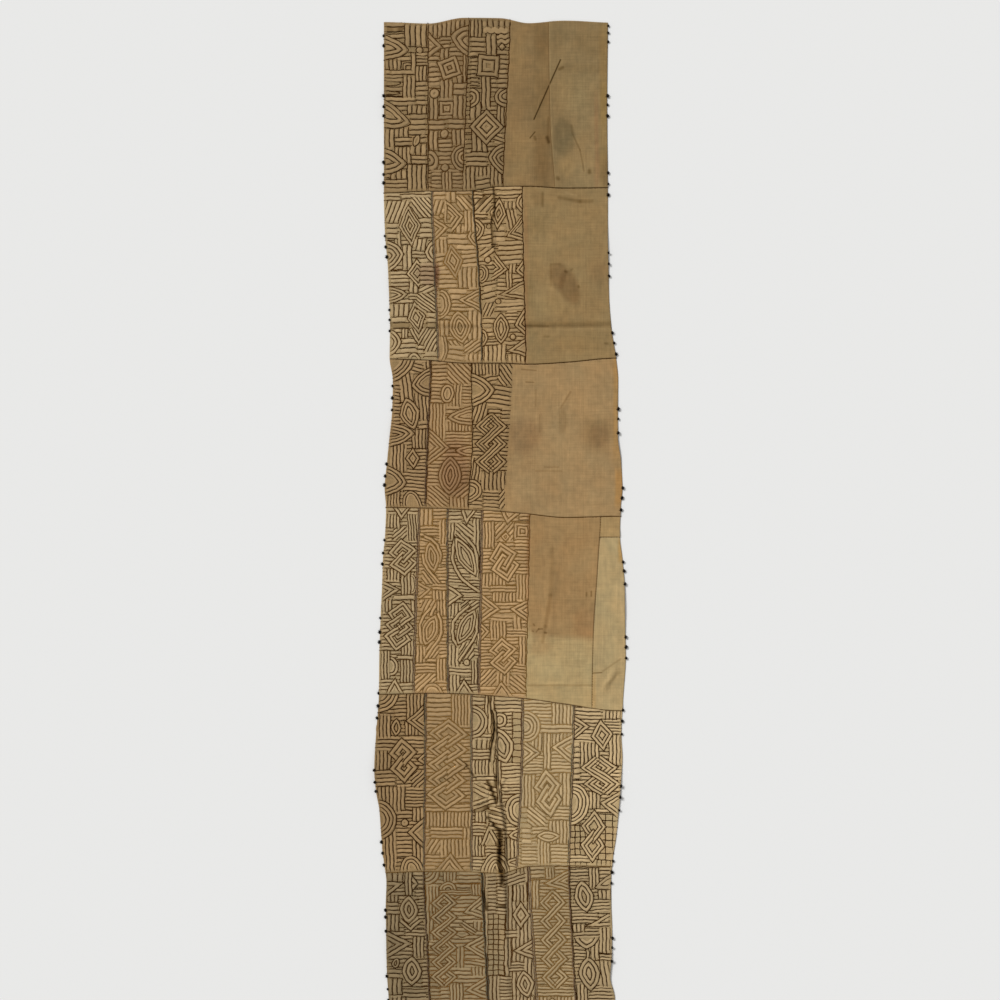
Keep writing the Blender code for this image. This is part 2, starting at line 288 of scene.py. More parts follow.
# The creases of the CAD source: six wrinkles round the puckered knot, then the folds elsewhere
CREASES = (
    Crease((-0.018, 2.178), (-0.070, 2.128), 0.0040, 0.007),
    Crease((-0.018, 2.178), (-0.080, 2.162), 0.0035, 0.007),
    Crease((-0.018, 2.178), (-0.076, 2.200), 0.0035, 0.007),
    Crease((-0.018, 2.178), (0.016, 2.116), 0.0045, 0.008),
    Crease((-0.018, 2.178), (0.032, 2.148), 0.0035, 0.007),
    Crease((-0.018, 2.178), (0.030, 2.198), 0.0030, 0.007),
    Crease((-0.020, 0.500), (-0.019, 0.672), 0.0045, 0.008),
    Crease((-0.300, 0.856), (0.310, 0.850), 0.0035, 0.011),
    Crease((0.196, 1.040), (0.172, 1.092), 0.0025, 0.009),
    Crease((0.109, 1.085), (0.109, 1.168), 0.0025, 0.009),
    Crease((0.150, 1.500), (0.132, 1.780), 0.0035, 0.022),
    Crease((0.072, 1.862), (0.230, 1.864), 0.0030, 0.010),
    Crease((0.288, 1.880), (0.330, 1.806), 0.0045, 0.012),
)
EDGE_LIFTS = (
    EdgeLift(-1, 0.240, 0.110, 0.070, 0.0035),
    EdgeLift(-1, 0.740, 0.090, 0.060, 0.0030),
    EdgeLift(1, 0.650, 0.110, 0.070, 0.0035),
    EdgeLift(1, 1.190, 0.090, 0.060, 0.0035),
    EdgeLift(-1, 1.160, 0.100, 0.070, 0.0040),
    EdgeLift(1, 1.640, 0.120, 0.080, 0.0045),
    EdgeLift(-1, 2.110, 0.130, 0.090, 0.0060),
    EdgeLift(1, 2.170, 0.110, 0.070, 0.0040),
    EdgeLift(1, 2.640, 0.110, 0.070, 0.0045),
    EdgeLift(-1, 2.600, 0.110, 0.070, 0.0035),
)


def smooth(places: Sequence[float], values: Sequence[float], at: Floats) -> Floats:
    """A curve through the given values that never runs past them between two places.

    Args:
        places: Rising positions of the given values.
        values: One value for each place.
        at: Positions to read the curve at.

    Returns:
        The curve's value at each position.
    """
    spots, heights = np.asarray(places, float), np.asarray(values, float)
    step = np.diff(spots)
    rise = np.diff(heights) / step
    slope = np.zeros_like(heights)
    product = rise[:-1] * rise[1:]
    both = np.abs(rise[:-1]) + np.abs(rise[1:])
    turning = product <= 0
    slope[1:-1] = np.where(turning, 0.0, 2 * product * np.sign(rise[1:]) / np.where(turning, 1, both))
    at = np.clip(at, spots[0], spots[-1])
    i = np.clip(np.searchsorted(spots, at) - 1, 0, len(step) - 1)
    t = (at - spots[i]) / step[i]
    bend = t * (1 - t) * step[i]
    eased = t * t * (3 - 2 * t)
    flat = heights[i] + (heights[i + 1] - heights[i]) * eased
    return flat + bend * ((1 - t) * slope[i] - t * slope[i + 1])


def ridge(share: Floats) -> Floats:
    """Cross-section of a fold: 1 on its crest, 0 from its foot on."""
    return np.cos(np.clip(share, -1, 1) * np.pi / 2) ** 2


def column(table: Sequence[tuple[float, ...]], name: str) -> list[float]:
    """One named column of a table."""
    return [getattr(row, name) for row in table]


def linear(colour: Sequence[float]) -> Floats:
    """Scene values of a colour that is given from 0 to 255, as the eye sees it."""
    share = np.asarray(colour, float) / 255
    return np.where(share <= 0.04045, share / 12.92, ((share + 0.055) / 1.055) ** 2.4)


@dataclass(frozen=True)
class Cut:
    """One sewn piece of cloth with its four edges, laps included."""

    name: str
    top: Curve
    bottom: Curve
    left: Curve
    right: Curve

    def insides(self, across: Floats, down: Floats) -> tuple[Floats, Floats, Floats, Floats]:
        """Ways from the points to the top, bottom, left and right edge, positive inside.

        Args:
            across: Ways right of the middle line.
            down: Ways below the top end.

        Returns:
            The four ways at each place.
        """
        return (
            down - self.top(across),
            self.bottom(across) - down,
            across - self.left(down),
            self.right(down) - across,
        )

    def cover(self, across: Floats, down: Floats) -> Floats:
        """1 over the piece and just past it, and 0 from one ramp further out.

        Args:
            across: Ways right of the middle line.
            down: Ways below the top end.

        Returns:
            The share at each place.
        """
        shares = [
            np.clip((inside + LAP_ROOM + RAMP) / RAMP, 0, 1) for inside in self.insides(across, down)
        ]
        return np.prod(shares, axis=0)


class LaidCloth:
    """The whole cloth as it lies: outline, seams, pleat, creases and the stack of its pieces."""

    def __init__(self) -> None:
        """Stacks the sewn pieces from the lowest layer to the topmost one."""
        strip_left = self.side_seam(SIDE_SEAM_4, -LAP)
        self.stack = (
            self.row_cut("panel_6", "5_to_6", "end"),
            self.row_cut("panel_5", "4_to_5", "5_to_6"),
            self.row_cut(
                "panel_4_side",
                "3_to_4",
                "4_to_5",
                top=lambda across: np.full_like(across, CORNER_SEAM_DOWN - LAP),
                left=strip_left,
            ),
            self.row_cut(
                "panel_4_corner",
                "3_to_4",
                "4_to_5",
                bottom=lambda across: np.full_like(across, CORNER_SEAM_DOWN),
                left=strip_left,
            ),
            self.row_cut("panel_4", "3_to_4", "4_to_5", right=self.side_seam(SIDE_SEAM_4)),
            self.row_cut("panel_3", "2_to_3", "3_to_4"),
            self.row_cut("panel_2", "1_to_2", "2_to_3"),
            self.row_cut("panel_1", "top", "1_to_2", right=self.side_seam(SIDE_SEAM_1, LAP)),
            self.row_cut("panel_1_side", "top", "1_to_2", left=self.side_seam(SIDE_SEAM_1)),
        )

    def outline(self, side: int) -> Curve:
        """The cloth's left edge (side -1) or right edge (side 1), as a function of the way down."""
        values = column(OUTLINE, "left" if side < 0 else "right")
        return lambda down: side * smooth(column(OUTLINE, "down"), values, down)

    def seam(self, name: str, shift: float = 0.0) -> Curve:
        """How far down a named seam lies, as a function of the way across."""
        values = next(seam.places for seam in SEAMS if seam.name == name)
        return lambda across: smooth(SEAM_PLACES, values, across) + shift

    def side_seam(self, table: Sequence[Place], shift: float = 0.0) -> Curve:
        """A line down the cloth, as a function of the way down."""
        return lambda down: smooth(column(table, "down"), column(table, "across"), down) + shift

    def row_cut(self, name: str, above: str, under: str, **edges: Curve) -> Cut:
        """A piece between two seams, with its top edge hidden under the row above.

        Args:
            name: The piece's name.
            above: The seam or end over it.
            under: The seam or end below it.
            edges: Edges that are not the row's own, by name.

        Returns:
            The piece with its four edges.
        """
        usual = {
            "top": self.seam(above, 0.0 if above == "top" else -LAP),
            "bottom": self.seam(under),
            "left": self.outline(-1),
            "right": self.outline(1),
        }
        return Cut(name, **{**usual, **edges})

    def cut(self, name: str) -> Cut:
        """The piece of that name."""
        return next(cut for cut in self.stack if cut.name == name)

    def crease_height(self, across: Floats, down: Floats, crease: Crease) -> Floats:
        """Height of one fold over the points.

        Args:
            across: Ways right of the middle line.
            down: Ways below the top end.
            crease: The fold.

        Returns:
            Metres at each place.
        """
        start, end = np.array(crease.start), np.array(crease.end)
        run = end - start
        along = ((across - start[0]) * run[0] + (down - start[1]) * run[1]) / (run @ run)
        aside = ((across - start[0]) * run[1] - (down - start[1]) * run[0]) / np.hypot(*run)
        to_end = np.clip(np.abs(2 * along - 1), 0, 1)
        return crease.height * ridge(aside / crease.width) * ridge(to_end**CREASE_TAPER)

    def edge_lift_height(self, across: Floats, down: Floats, lift: EdgeLift) -> Floats:
        """Height of one curled stretch of an edge over the points.

        Args:
            across: Ways right of the middle line.
            down: Ways below the top end.
            lift: The curled stretch.

        Returns:
            Metres at each place.
        """
        inside = lift.side * (self.outline(lift.side)(down) - across)
        risen = np.clip(1 - inside / lift.reach, 0, None) ** 2
        return lift.height * risen * ridge((down - lift.down) / lift.half_length)

    def unevenness(self, across: Floats, down: Floats) -> Floats:
        """The slight waves of a cloth that has been rolled and handled, never below 0.

        Args:
            across: Ways right of the middle line.
            down: Ways below the top end.

        Returns:
            Metres at each place.
        """
        # Rates in radians to the metre, with inner sines that bend the waves
        slow = np.sin(across * 47 + 2.1 * np.sin(down * 11)) * np.sin(down * 31 + np.sin(across * 17))
        fine = np.sin(across * 163 + 1.7 * np.sin(down * 71)) * np.sin(down * 139 - 0.8)
        return WAVES_HIGH * (1 + slow) + RIPPLES_HIGH * (1 + fine)

    def ground(self, across: Floats, down: Floats) -> Floats:
        """The underside of the lowest layer of cloth, as an array of points.

        Args:
            across: Ways right of the middle line.
            down: Ways below the top end.

        Returns:
            A point in the frame for each place.
        """
        places = column(PLEAT, "down")
        crest = smooth(places, column(PLEAT, "across"), down)
        width = smooth(places, column(PLEAT, "width"), down)
        pleat = smooth(places, column(PLEAT, "height"), down) * ridge((across - crest) / width)
        lean = smooth(places, column(PLEAT, "lean"), down)
        height = pleat
        for crease in CREASES:
            height = np.maximum(height, self.crease_height(across, down, crease))
        for lift in EDGE_LIFTS:
            height = np.maximum(height, self.edge_lift_height(across, down, lift))
        height = height + self.unevenness(across, down)
        return np.stack([across + lean * pleat, MIDDLE_DOWN - down, height], axis=-1)

    def normal(self, across: Floats, down: Floats) -> Floats:
        """The direction out of the cloth's face.

        Args:
            across: Ways right of the middle line.
            down: Ways below the top end.

        Returns:
            A vector of length 1 for each place.
        """
        along_x = self.ground(across + NORMAL_STEP, down) - self.ground(across - NORMAL_STEP, down)
        along_y = self.ground(across, down - NORMAL_STEP) - self.ground(across, down + NORMAL_STEP)
        normal = np.cross(along_x, along_y)
        return normal / np.linalg.norm(normal, axis=-1, keepdims=True)

    def layers(self, name: str, across: Floats, down: Floats) -> Floats:
        """How many layers of cloth lie under the named piece.

        Args:
            name: The sewn piece.
            across: Ways right of the middle line.
            down: Ways below the top end.

        Returns:
            The count at each place, with shares on the ramps.
        """
        total = np.zeros_like(across)
        for cut in self.stack:
            if cut.name == name:
                break
            total = total + cut.cover(across, down)
        return total

    def raised(self, name: str, across: Floats, down: Floats, lift: Floats | float) -> Floats:
        """Points that lie a given way above the underside of the named piece."""
        height = self.layers(name, across, down) * LAYER + lift
        return self.ground(across, down) + self.normal(across, down) * height[..., None]

    def surface(self, across: Floats, down: Floats, lift: float) -> Floats:
        """Points that lie a given way above the face of the topmost piece at each place.

        Args:
            across: Ways right of the middle line.
            down: Ways below the top end.
            lift: Metres above the face.

        Returns:
            A point in the frame for each place.
        """
        found = self.raised(self.stack[0].name, across, down, THICKNESS + lift)
        for cut in self.stack[1:]:
            inside = np.min(cut.insides(across, down), axis=0) > 0
            here = self.raised(cut.name, across, down, THICKNESS + lift)
            found = np.where(inside[..., None], here, found)
        return found


class Wire:
    """One output of a node, with the arithmetic that shaders and trees need."""

    def __init__(self, graph: Graph, socket: bpy.types.NodeSocket) -> None:
        """Wraps a socket of the graph's tree."""
        self.graph = graph
        self.socket = socket

    def math(self, operation: str, *others: Feed) -> Wire:
        """A Math node that starts with this wire."""
        feeds = dict(enumerate((self, *others)))
        return self.graph.node("ShaderNodeMath", feeds, operation=operation)

    def vector_math(self, operation: str, *others: Feed) -> Wire:
        """A Vector Math node that starts with this wire."""
        feeds = dict(enumerate((self, *others)))
        return self.graph.node("ShaderNodeVectorMath", feeds, operation=operation)

    def output(self, name: str) -> Wire:
        """Another output of the same node."""
        return Wire(self.graph, self.socket.node.outputs[name])

    def __add__(self, other: Feed) -> Wire:
        """Sum."""
        return self.math("ADD", other)

    def __radd__(self, other: float) -> Wire:
        """Sum with a number on the left."""
        return self.math("ADD", other)

    def __sub__(self, other: Feed) -> Wire:
        """Difference."""
        return self.math("SUBTRACT", other)

    def __rsub__(self, other: float) -> Wire:
        """A number less this wire."""
        return self.graph.node("ShaderNodeMath", {0: other, 1: self}, operation="SUBTRACT")

    def __mul__(self, other: Feed) -> Wire:
        """Product."""
        return self.math("MULTIPLY", other)

    def __rmul__(self, other: float) -> Wire:
        """Product with a number on the left."""
        return self.math("MULTIPLY", other)

    def __truediv__(self, other: Feed) -> Wire:
        """Quotient."""
        return self.math("DIVIDE", other)


Feed = Wire | float | tuple | str | bool | bpy.types.ID


class Graph:
    """Adds nodes to one node tree."""

    def __init__(self, tree: bpy.types.NodeTree) -> None:
        """Starts from an existing tree."""
        self.tree = tree

    def node(self, kind: str, feeds: Mapping[str | int, Feed] | None = None, **settings: object) -> Wire:
        """Adds a node.

        Args:
            kind: Blender's name of the node type.
            feeds: Values or wires for the inputs, by the input's name or number.
            settings: The node's own settings, which are set before its inputs.

        Returns:
            The node's first output that is in use, or its first input where it has no output.
        """
        node = self.tree.nodes.new(kind)
        for name, value in settings.items():
            setattr(node, name, value)
        for key, value in (feeds or {}).items():
            socket = node.inputs[key]
            if isinstance(value, Wire):
                self.tree.links.new(value.socket, socket)
            else:
                socket.default_value = value
        return Wire(self, next((out for out in node.outputs if out.enabled), None) or node.inputs[0])


class Paint(Graph):
    """The nodes of one material, with the patterns that its finish is made of."""

    def __init__(self, name: str, roughness: float) -> None:
        """Starts a material with its principled shader.

        Args:
            name: The material's name.
            roughness: Its roughness, from 0 to 1.
        """
        self.material = bpy.data.materials.new(name)
        self.material.use_nodes = True
        super().__init__(self.material.node_tree)
        self.tree.nodes.clear()
        self.shader = self.node("ShaderNodeBsdfPrincipled", {"Roughness": roughness}).socket.node
        self.node("ShaderNodeOutputMaterial", {"Surface": Wire(self, self.shader.outputs[0])})
        self.shader.inputs["Specular IOR Level"].default_value = SPECULAR
        self.place = self.node("ShaderNodeTexCoord").output("Object")

    def feed(self, name: str, value: Feed) -> None:
        """Sets one socket of the shader, or links a wire to it.

        Args:
            name: The socket's name.
            value: A wire, or a value that holds all over.
        """
        if isinstance(value, Wire):
            self.tree.links.new(value.socket, self.shader.inputs[name])
        else:
            self.shader.inputs[name].default_value = value

    def dye(self) -> Wire:
        """The colour that every point of a piece carries."""
        return self.node("ShaderNodeAttribute", attribute_name="dye")

    def noise(self, waves: Sequence[float], detail: float = 2.0) -> Wire:
        """Noise about 0.5, with so many waves to the metre in each direction."""
        place = self.place.vector_math("MULTIPLY", tuple(waves))
        return self.node("ShaderNodeTexNoise", {"Vector": place, "Scale": 1.0, "Detail": detail})

    def shade_of(self, number: Wire) -> Wire:
        """A random value from 0 to 1 for each whole number."""
        return self.node("ShaderNodeTexWhiteNoise", {"W": number}, noise_dimensions="1D")

    def scaled(self, vector: Feed, factor: Wire) -> Wire:
        """A vector or colour times a number."""
        return self.node("ShaderNodeVectorMath", {0: vector, "Scale": factor}, operation="SCALE")

    def coloured(self, factor: Wire, tint: Feed = (1.0, 1.0, 1.0)) -> None:
        """Gives the surface its dye, tinted, and made lighter or darker by a factor."""
        self.feed("Base Color", self.scaled(self.dye().vector_math("MULTIPLY", tint), factor))

    def marked(self, mark: Mark) -> Wire:
        """What one mark leaves of the colour.

        Args:
            mark: The mark.

        Returns:
            A share of 1 where nothing is taken.
        """
        (x, y), (run_x, run_y), long = mark.line()
        run, half = (run_x, -run_y, 0.0), mark.half_wide * CHART_SQUARE
        flat = self.place.vector_math("MULTIPLY", (1.0, 1.0, 0.0))
        way = flat.vector_math("SUBTRACT", (x, MIDDLE_DOWN - y, 0.0))
        along = way.vector_math("DOT_PRODUCT", run).math("MAXIMUM", 0.0).math("MINIMUM", long)
        gap = way.vector_math("DISTANCE", self.scaled(run, along))
        feeds = {"Value": gap, "From Min": half, "From Max": 0.0, "To Min": 1.0, "To Max": mark.shade}
        return self.node("ShaderNodeMapRange", feeds, interpolation_type="SMOOTHSTEP")

    def relief(self, height: Wire, depth: float) -> None:
        """Gives the surface a relief of a depth in metres."""
        self.feed("Normal", self.node("ShaderNodeBump", {"Height": height, "Distance": depth}))


@dataclass(frozen=True)
class WovenRaffia:
    """Plain weave of split palm leaf: each strand has its own shade, the cloth is mottled, and its colour
    is painted darker in the hollows between strands and lighter on their crests, as shade and highlight.

    Streaks, sways, patches, hues and fibres are in waves to the metre.
    """

    name: str = "woven_raffia"
    warp_pitch: float = 0.0015
    weft_pitch: float = 0.0017
    sways: Waves = (9, 9, 9)
    drift: float = 0.006
    steepness: float = 3.0
    warp_streaks: Waves = (250, 15, 1)
    weft_streaks: Waves = (17, 250, 1)
    warp_own: float = 0.15
    weft_own: float = 0.10
    strand_shade: float = 0.36
    patches: Waves = (60, 48, 60)
    mottle: float = 0.46
    hues: Waves = (15, 12, 15)
    tint: Colour = (0.16, -0.03, -0.18)
    # Painted shade in the hollows between strands, and painted highlight on their crests
    hollow: float = 0.87
    crest: float = 0.20
    fibres: Waves = (900, 900, 900)
    fibre_height: float = 0.4
    depth: float = 0.0004
    roughness: float = 0.82

    def material(self) -> bpy.types.Material:
        """Builds the finish as a material.

        Returns:
            The material.
        """
        paint = Paint(self.name, self.roughness)
        sway = (paint.noise(self.sways) - 0.5) * self.drift
        place = paint.node("ShaderNodeSeparateXYZ", {"Vector": paint.place})
        warp = (place.output("X") + sway) / self.warp_pitch
        weft = (place.output("Y") + sway) / self.weft_pitch
        warp_round, weft_round = (warp * math.pi).math("SINE"), (weft * math.pi).math("SINE")
        over = (warp_round * weft_round * self.steepness + 0.5).math("MINIMUM", 1.0).math("MAXIMUM", 0.0)
        height = (warp_round.math("ABSOLUTE") * over).math(
            "MAXIMUM", weft_round.math("ABSOLUTE") * (1 - over)
        )
        warp_own = paint.shade_of(warp.math("FLOOR")) * self.warp_own
        weft_own = paint.shade_of(weft.math("FLOOR") + 0.5) * self.weft_own
        warp_shade = warp_own + paint.noise(self.warp_streaks) * (1 - self.warp_own)
        weft_shade = weft_own + paint.noise(self.weft_streaks) * (1 - self.weft_own)
        strand = warp_shade * over + weft_shade * (1 - over) - 0.5
        patches = paint.noise(self.patches, detail=6.0) - 0.5
        factor = (1 + strand * (2 * self.strand_shade)) * (1 + patches * self.mottle)
        # The marks paint shade and highlights of wrinkles and creases, and the slit and spots, into the
        # weave's colour, turned a warm brown
        left = paint.marked(PLAIN_MARKS[0])
        for mark in PLAIN_MARKS[1:]:
            left = left * paint.marked(mark)
        painted_shade_and_marks = paint.node("ShaderNodeCombineXYZ", {i: left.math("POWER", MARK_WARMTH[i]) for i in range(3)})
        tint = paint.scaled(self.tint, paint.noise(self.hues, detail=3.0) - 0.5)
        tint = tint.vector_math("ADD", (1.0,) * 3).vector_math("MULTIPLY", painted_shade_and_marks)
        # Painted shade and highlight of the weave: the colour is darker in the hollows between strands and
        # lighter on their crests
        paint.coloured(factor * (height * self.crest + self.hollow), tint)
        paint.relief(height + paint.noise(self.fibres) * self.fibre_height, self.depth)
        return paint.material


@dataclass(frozen=True)
class SpunRaffia:
    """Raffia thread: fine fibres, and small changes of shade along it."""

    name: str = "spun_raffia"
    fibres: Waves = (2400, 2400, 2400)
    wear: Waves = (110, 110, 110)
    fibre_share: float = 0.4
    shade: float = 0.8
    depth: float = 0.0002
    roughness: float = 0.72

    def material(self) -> bpy.types.Material:
        """Builds the finish as a material.

        Returns:
            The material.
        """
        paint = Paint(self.name, self.roughness)
        fibre = paint.noise(self.fibres, detail=1.0)
        worn = paint.noise(self.wear, detail=4.0)
        mixed = fibre * self.fibre_share + worn * (1 - self.fibre_share)
        paint.coloured((mixed - 0.5) * self.shade + 1)
        paint.relief(fibre, self.depth)
        return paint.material


@dataclass(frozen=True)
class PaleFloor:
    """The plain pale floor."""

    name: str = "pale_floor"
    colour: Colour = (0.80, 0.80, 0.79)
    roughness: float = 0.9

    def material(self) -> bpy.types.Material:
        """Builds the finish as a material.

        Returns:
            The material.
        """
        paint = Paint(self.name, self.roughness)
        paint.feed("Base Color", (*self.colour, 1.0))
        return paint.material


def carry_dye(mesh: bpy.types.Mesh, dyes: Floats) -> None:
    """Gives every point of a mesh its colour."""
    full = np.hstack([dyes, np.ones((len(dyes), 1))])
    mesh.attributes.new("dye", "FLOAT_COLOR", "POINT").data.foreach_set("color", full.ravel())


class Lines:
    """Collects lines of points with their way up, colour and width, for a tree to dress."""

    def __init__(self) -> None:
        """Starts empty."""
        self.parts: list[tuple[Floats, Floats, Floats, Floats]] = []

    def add(self, places: Floats, ups: Floats, dyes: Floats, widths: Floats | float = 0.0) -> None:
        """Adds one line.

        Args:
            places: The points of the line, in metres.
            ups: The way out of the cloth's face at each point.
            dyes: The colour at each point, or one colour for all.
            widths: The width at each point, or one width for all.
        """
        count = len(places)
        dyes = np.broadcast_to(dyes, (count, 3))
        self.parts.append((places, ups, dyes, np.broadcast_to(widths, (count,))))

    def mesh(self, name: str) -> bpy.types.Mesh:
        """The lines as edges of one mesh, with what they carry as attributes.

        Args:
            name: The mesh's name.

        Returns:
            The mesh.
        """
        places, ups, dyes, widths = (np.concatenate(part) for part in zip(*self.parts))
        ends = np.cumsum([len(part[0]) for part in self.parts])
        starts = np.delete(np.arange(len(places)), ends - 1)
        mesh = bpy.data.meshes.new(name)
        mesh.vertices.add(len(places))
        mesh.vertices.foreach_set("co", places.ravel())
        mesh.edges.add(len(starts))
        mesh.edges.foreach_set("vertices", np.stack([starts, starts + 1], axis=1).ravel())
        mesh.attributes.new("up", "FLOAT_VECTOR", "POINT").data.foreach_set("vector", ups.ravel())
        carry_dye(mesh, dyes)
        mesh.attributes.new("width", "FLOAT", "POINT").data.foreach_set("value", widths)
        return mesh


class Dressing(Graph):
    """A Geometry Nodes tree that dresses lines, with named inputs for its sizes."""

    def __init__(self, name: str, finish: bpy.types.Material, sizes: Mapping[str, float]) -> None:
        """Starts the tree with its inputs and output.

        Args:
            name: The tree's name.
            finish: The material of the result.
            sizes: The tree's sizes by name.
        """
        super().__init__(bpy.data.node_groups.new(name, "GeometryNodeTree"))
        self.finish = finish
        self.sizes = sizes
        sockets = self.tree.interface
        sockets.new_socket("Lines", in_out="INPUT", socket_type="NodeSocketGeometry")
        for size in sizes:
            sockets.new_socket(size, in_out="INPUT", socket_type="NodeSocketFloat")
        sockets.new_socket("Dressed", in_out="OUTPUT", socket_type="NodeSocketGeometry")
        self.inlet = self.node("NodeGroupInput")

    def size(self, name: str) -> Wire:
        """One of the tree's sizes."""
        return self.inlet.output(name)

    def carried(self, name: str, kind: str = "FLOAT_VECTOR") -> Wire:
        """What the lines carry under a name."""
        return self.node("GeometryNodeInputNamedAttribute", {"Name": name}, data_type=kind)

    def random(self, low: float, high: float, seed: int) -> Wire:
        """A random value for each point, always the same for a seed."""
        return self.node("FunctionNodeRandomValue", {2: low, 3: high, "Seed": seed})

    def uneven(self, name: str, spread: float, seed: int) -> Wire:
        """One of the tree's sizes, up to a share larger or smaller at each point."""
        return self.size(name) * self.random(1 - spread, 1 + spread, seed)

    def xyz(self, x: Feed, y: Feed, z: Feed) -> Wire:
        """A vector of three values."""
        return self.node("ShaderNodeCombineXYZ", {"X": x, "Y": y, "Z": z})

    def end(self, geometry: Wire) -> None:
        """Ends the tree: real, smooth geometry with its material.

        Args:
            geometry: What the tree has made.
        """
        real = self.node("GeometryNodeRealizeInstances", {0: geometry})
        soft = self.node("GeometryNodeSetShadeSmooth", {0: real})
        dressed = self.node("GeometryNodeSetMaterial", {0: soft, "Material": self.finish})
        self.node("NodeGroupOutput", {0: dressed})

    def dress(self, lines: Lines, name: str) -> bpy.types.Object:
        """Runs the tree over the lines.

        Args:
            lines: What to dress.
            name: The piece's name.

        Returns:
            The result as an object with a plain mesh.
        """
        piece = bpy.data.objects.new(name, lines.mesh(name))
        bpy.context.scene.collection.objects.link(piece)
        modifier = piece.modifiers.new("dressing", "NODES")
        modifier.node_group = self.tree
        for item in self.tree.interface.items_tree:
            if item.in_out == "INPUT" and item.name in self.sizes:
                modifier[item.identifier] = self.sizes[item.name]
        depsgraph = bpy.context.evaluated_depsgraph_get()
        made = bpy.data.meshes.new_from_object(piece.evaluated_get(depsgraph))
        piece.modifiers.clear()
        piece.data = made
        return piece


def solid(
    name: str, corners: Sequence[Sequence[float]], faces: Sequence[Sequence[int]]
) -> bpy.types.Object:
    """An object of a few corners and faces.

    Args:
        name: The object's name.
        corners: Its corners.
        faces: The corners' numbers, face by face.

    Returns:
        The object, which isn't in the scene yet.
    """
    mesh = bpy.data.meshes.new(name)
    mesh.from_pydata([tuple(corner) for corner in corners], [], [tuple(face) for face in faces])
    return bpy.data.objects.new(name, mesh)


class Stitching(Dressing):
    """Short slanted stitches, one after the other along every line."""

    def __init__(self, finish: bpy.types.Material, sizes: StitchSizes) -> None:
        """Builds the tree.

        Args:
            finish: The material of the result.
            sizes: The stitches' sizes.
        """
        super().__init__("stitching", finish, sizes.named())
        curve = self.node("GeometryNodeMeshToCurve", {0: self.inlet})
        feeds = {0: curve, "Length": self.size("Spacing")}
        points = self.node("GeometryNodeCurveToPoints", feeds, mode="LENGTH")
        axes = {0: self.carried("up"), 1: points.output("Tangent")}
        flat = self.node("FunctionNodeAxesToRotation", axes, primary_axis="Z", secondary_axis="X")
        slant = self.xyz(0.0, 0.0, self.uneven("Slant", spread=0.6, seed=11))
        turned = self.node("FunctionNodeRotateRotation", {0: flat, 1: slant}, rotation_space="LOCAL")
        scale = self.xyz(
            self.uneven("Length", spread=0.15, seed=12),
            self.uneven("Width", spread=0.20, seed=13),
            self.uneven("Height", spread=0.15, seed=14),
        )
        ring = [(x, y, z) for x in (-STITCH_SHOULDER, STITCH_SHOULDER) for y, z in STITCH_SECTION]
        walls = [(i, (i + 1) % 3, (i + 1) % 3 + 3, i + 3) for i in range(3)]
        tips = [(6, (i + 1) % 3, i) for i in range(3)] + [(7, i + 3, (i + 1) % 3 + 3) for i in range(3)]
        shape = solid("stitch", [*ring, (-0.5, 0, 0), (0.5, 0, 0)], walls + tips)
        stitch = self.node("GeometryNodeObjectInfo", {0: shape}).output("Geometry")
        feeds = {0: points, "Instance": stitch, "Rotation": turned, "Scale": scale}
        self.end(self.node("GeometryNodeInstanceOnPoints", feeds))


@dataclass(frozen=True)
class StitchSizes:
    """Sizes of a row of stitches in metres, and their slant in radians."""

    spacing: float = 0.0046
    length: float = 0.0072
    width: float = 0.0027
    height: float = 0.0015
    slant: float = 0.20

    def named(self) -> dict[str, float]:
        """The sizes under the names of the tree's inputs."""
        return {name.capitalize(): value for name, value in vars(self).items()}


class Banding(Dressing):
    """Low rounded bands of cloth that stand up between the lines of stitches."""

    def __init__(self, finish: bpy.types.Material, crown: float) -> None:
        """Builds the tree from the height of a band.

        Args:
            finish: The material of the result.
            crown: The band's height as a share of its width.
        """
        super().__init__("banding", finish, {"Crown": crown})
        curve = self.node("GeometryNodeMeshToCurve", {0: self.inlet})
        tangent = self.node("GeometryNodeInputTangent")
        side = self.carried("up").vector_math("CROSS_PRODUCT", tangent)
        laid = self.node("GeometryNodeSetCurveNormal", {0: curve, "Normal": side}, mode="FREE")
        shape = solid("band_section", BAND_SECTION, [range(len(BAND_SECTION))])
        flat = self.node("GeometryNodeObjectInfo", {0: shape}).output("Geometry")
        high = self.xyz(1.0, self.size("Crown"), 1.0)
        section = self.node("GeometryNodeTransform", {0: flat, "Scale": high})
        section = self.node("GeometryNodeMeshToCurve", {0: section})
        feeds = {0: laid, 1: section, "Scale": self.carried("width", "FLOAT"), "Fill Caps": True}
        self.end(self.node("GeometryNodeCurveToMesh", feeds))


class Knotting(Dressing):
    """Tufted knots, one at every point, each turned and sized a little differently."""

    def __init__(self, finish: bpy.types.Material, size: float, shape: bpy.types.Object) -> None:
        """Builds the tree from a knot's size and shape.

        Args:
            finish: The material of the result.
            size: A knot's size in metres.
            shape: A knot of unit size.
        """
        super().__init__("knotting", finish, {"Size": size})
        turn = self.xyz(
            self.random(-KNOT_TILT, KNOT_TILT, seed=21),
            self.random(-KNOT_TILT, KNOT_TILT, seed=22),
            self.random(-KNOT_TURN, KNOT_TURN, seed=23),
        )
        scale = self.uneven("Size", spread=0.2, seed=24)
        knot = self.node("GeometryNodeObjectInfo", {0: shape}).output("Geometry")
        points = self.node("GeometryNodeMeshToPoints", {0: self.inlet})
        feeds = {0: points, "Instance": knot, "Rotation": turn, "Scale": self.xyz(scale, scale, scale)}
        self.end(self.node("GeometryNodeInstanceOnPoints", feeds))


class Stroke(NamedTuple):
    """One line of the chart, in squares, before it is cut where something covers it."""

    points: Floats
    raised: bool
    pitch: float
    cuts: tuple[Floats, ...] = ()


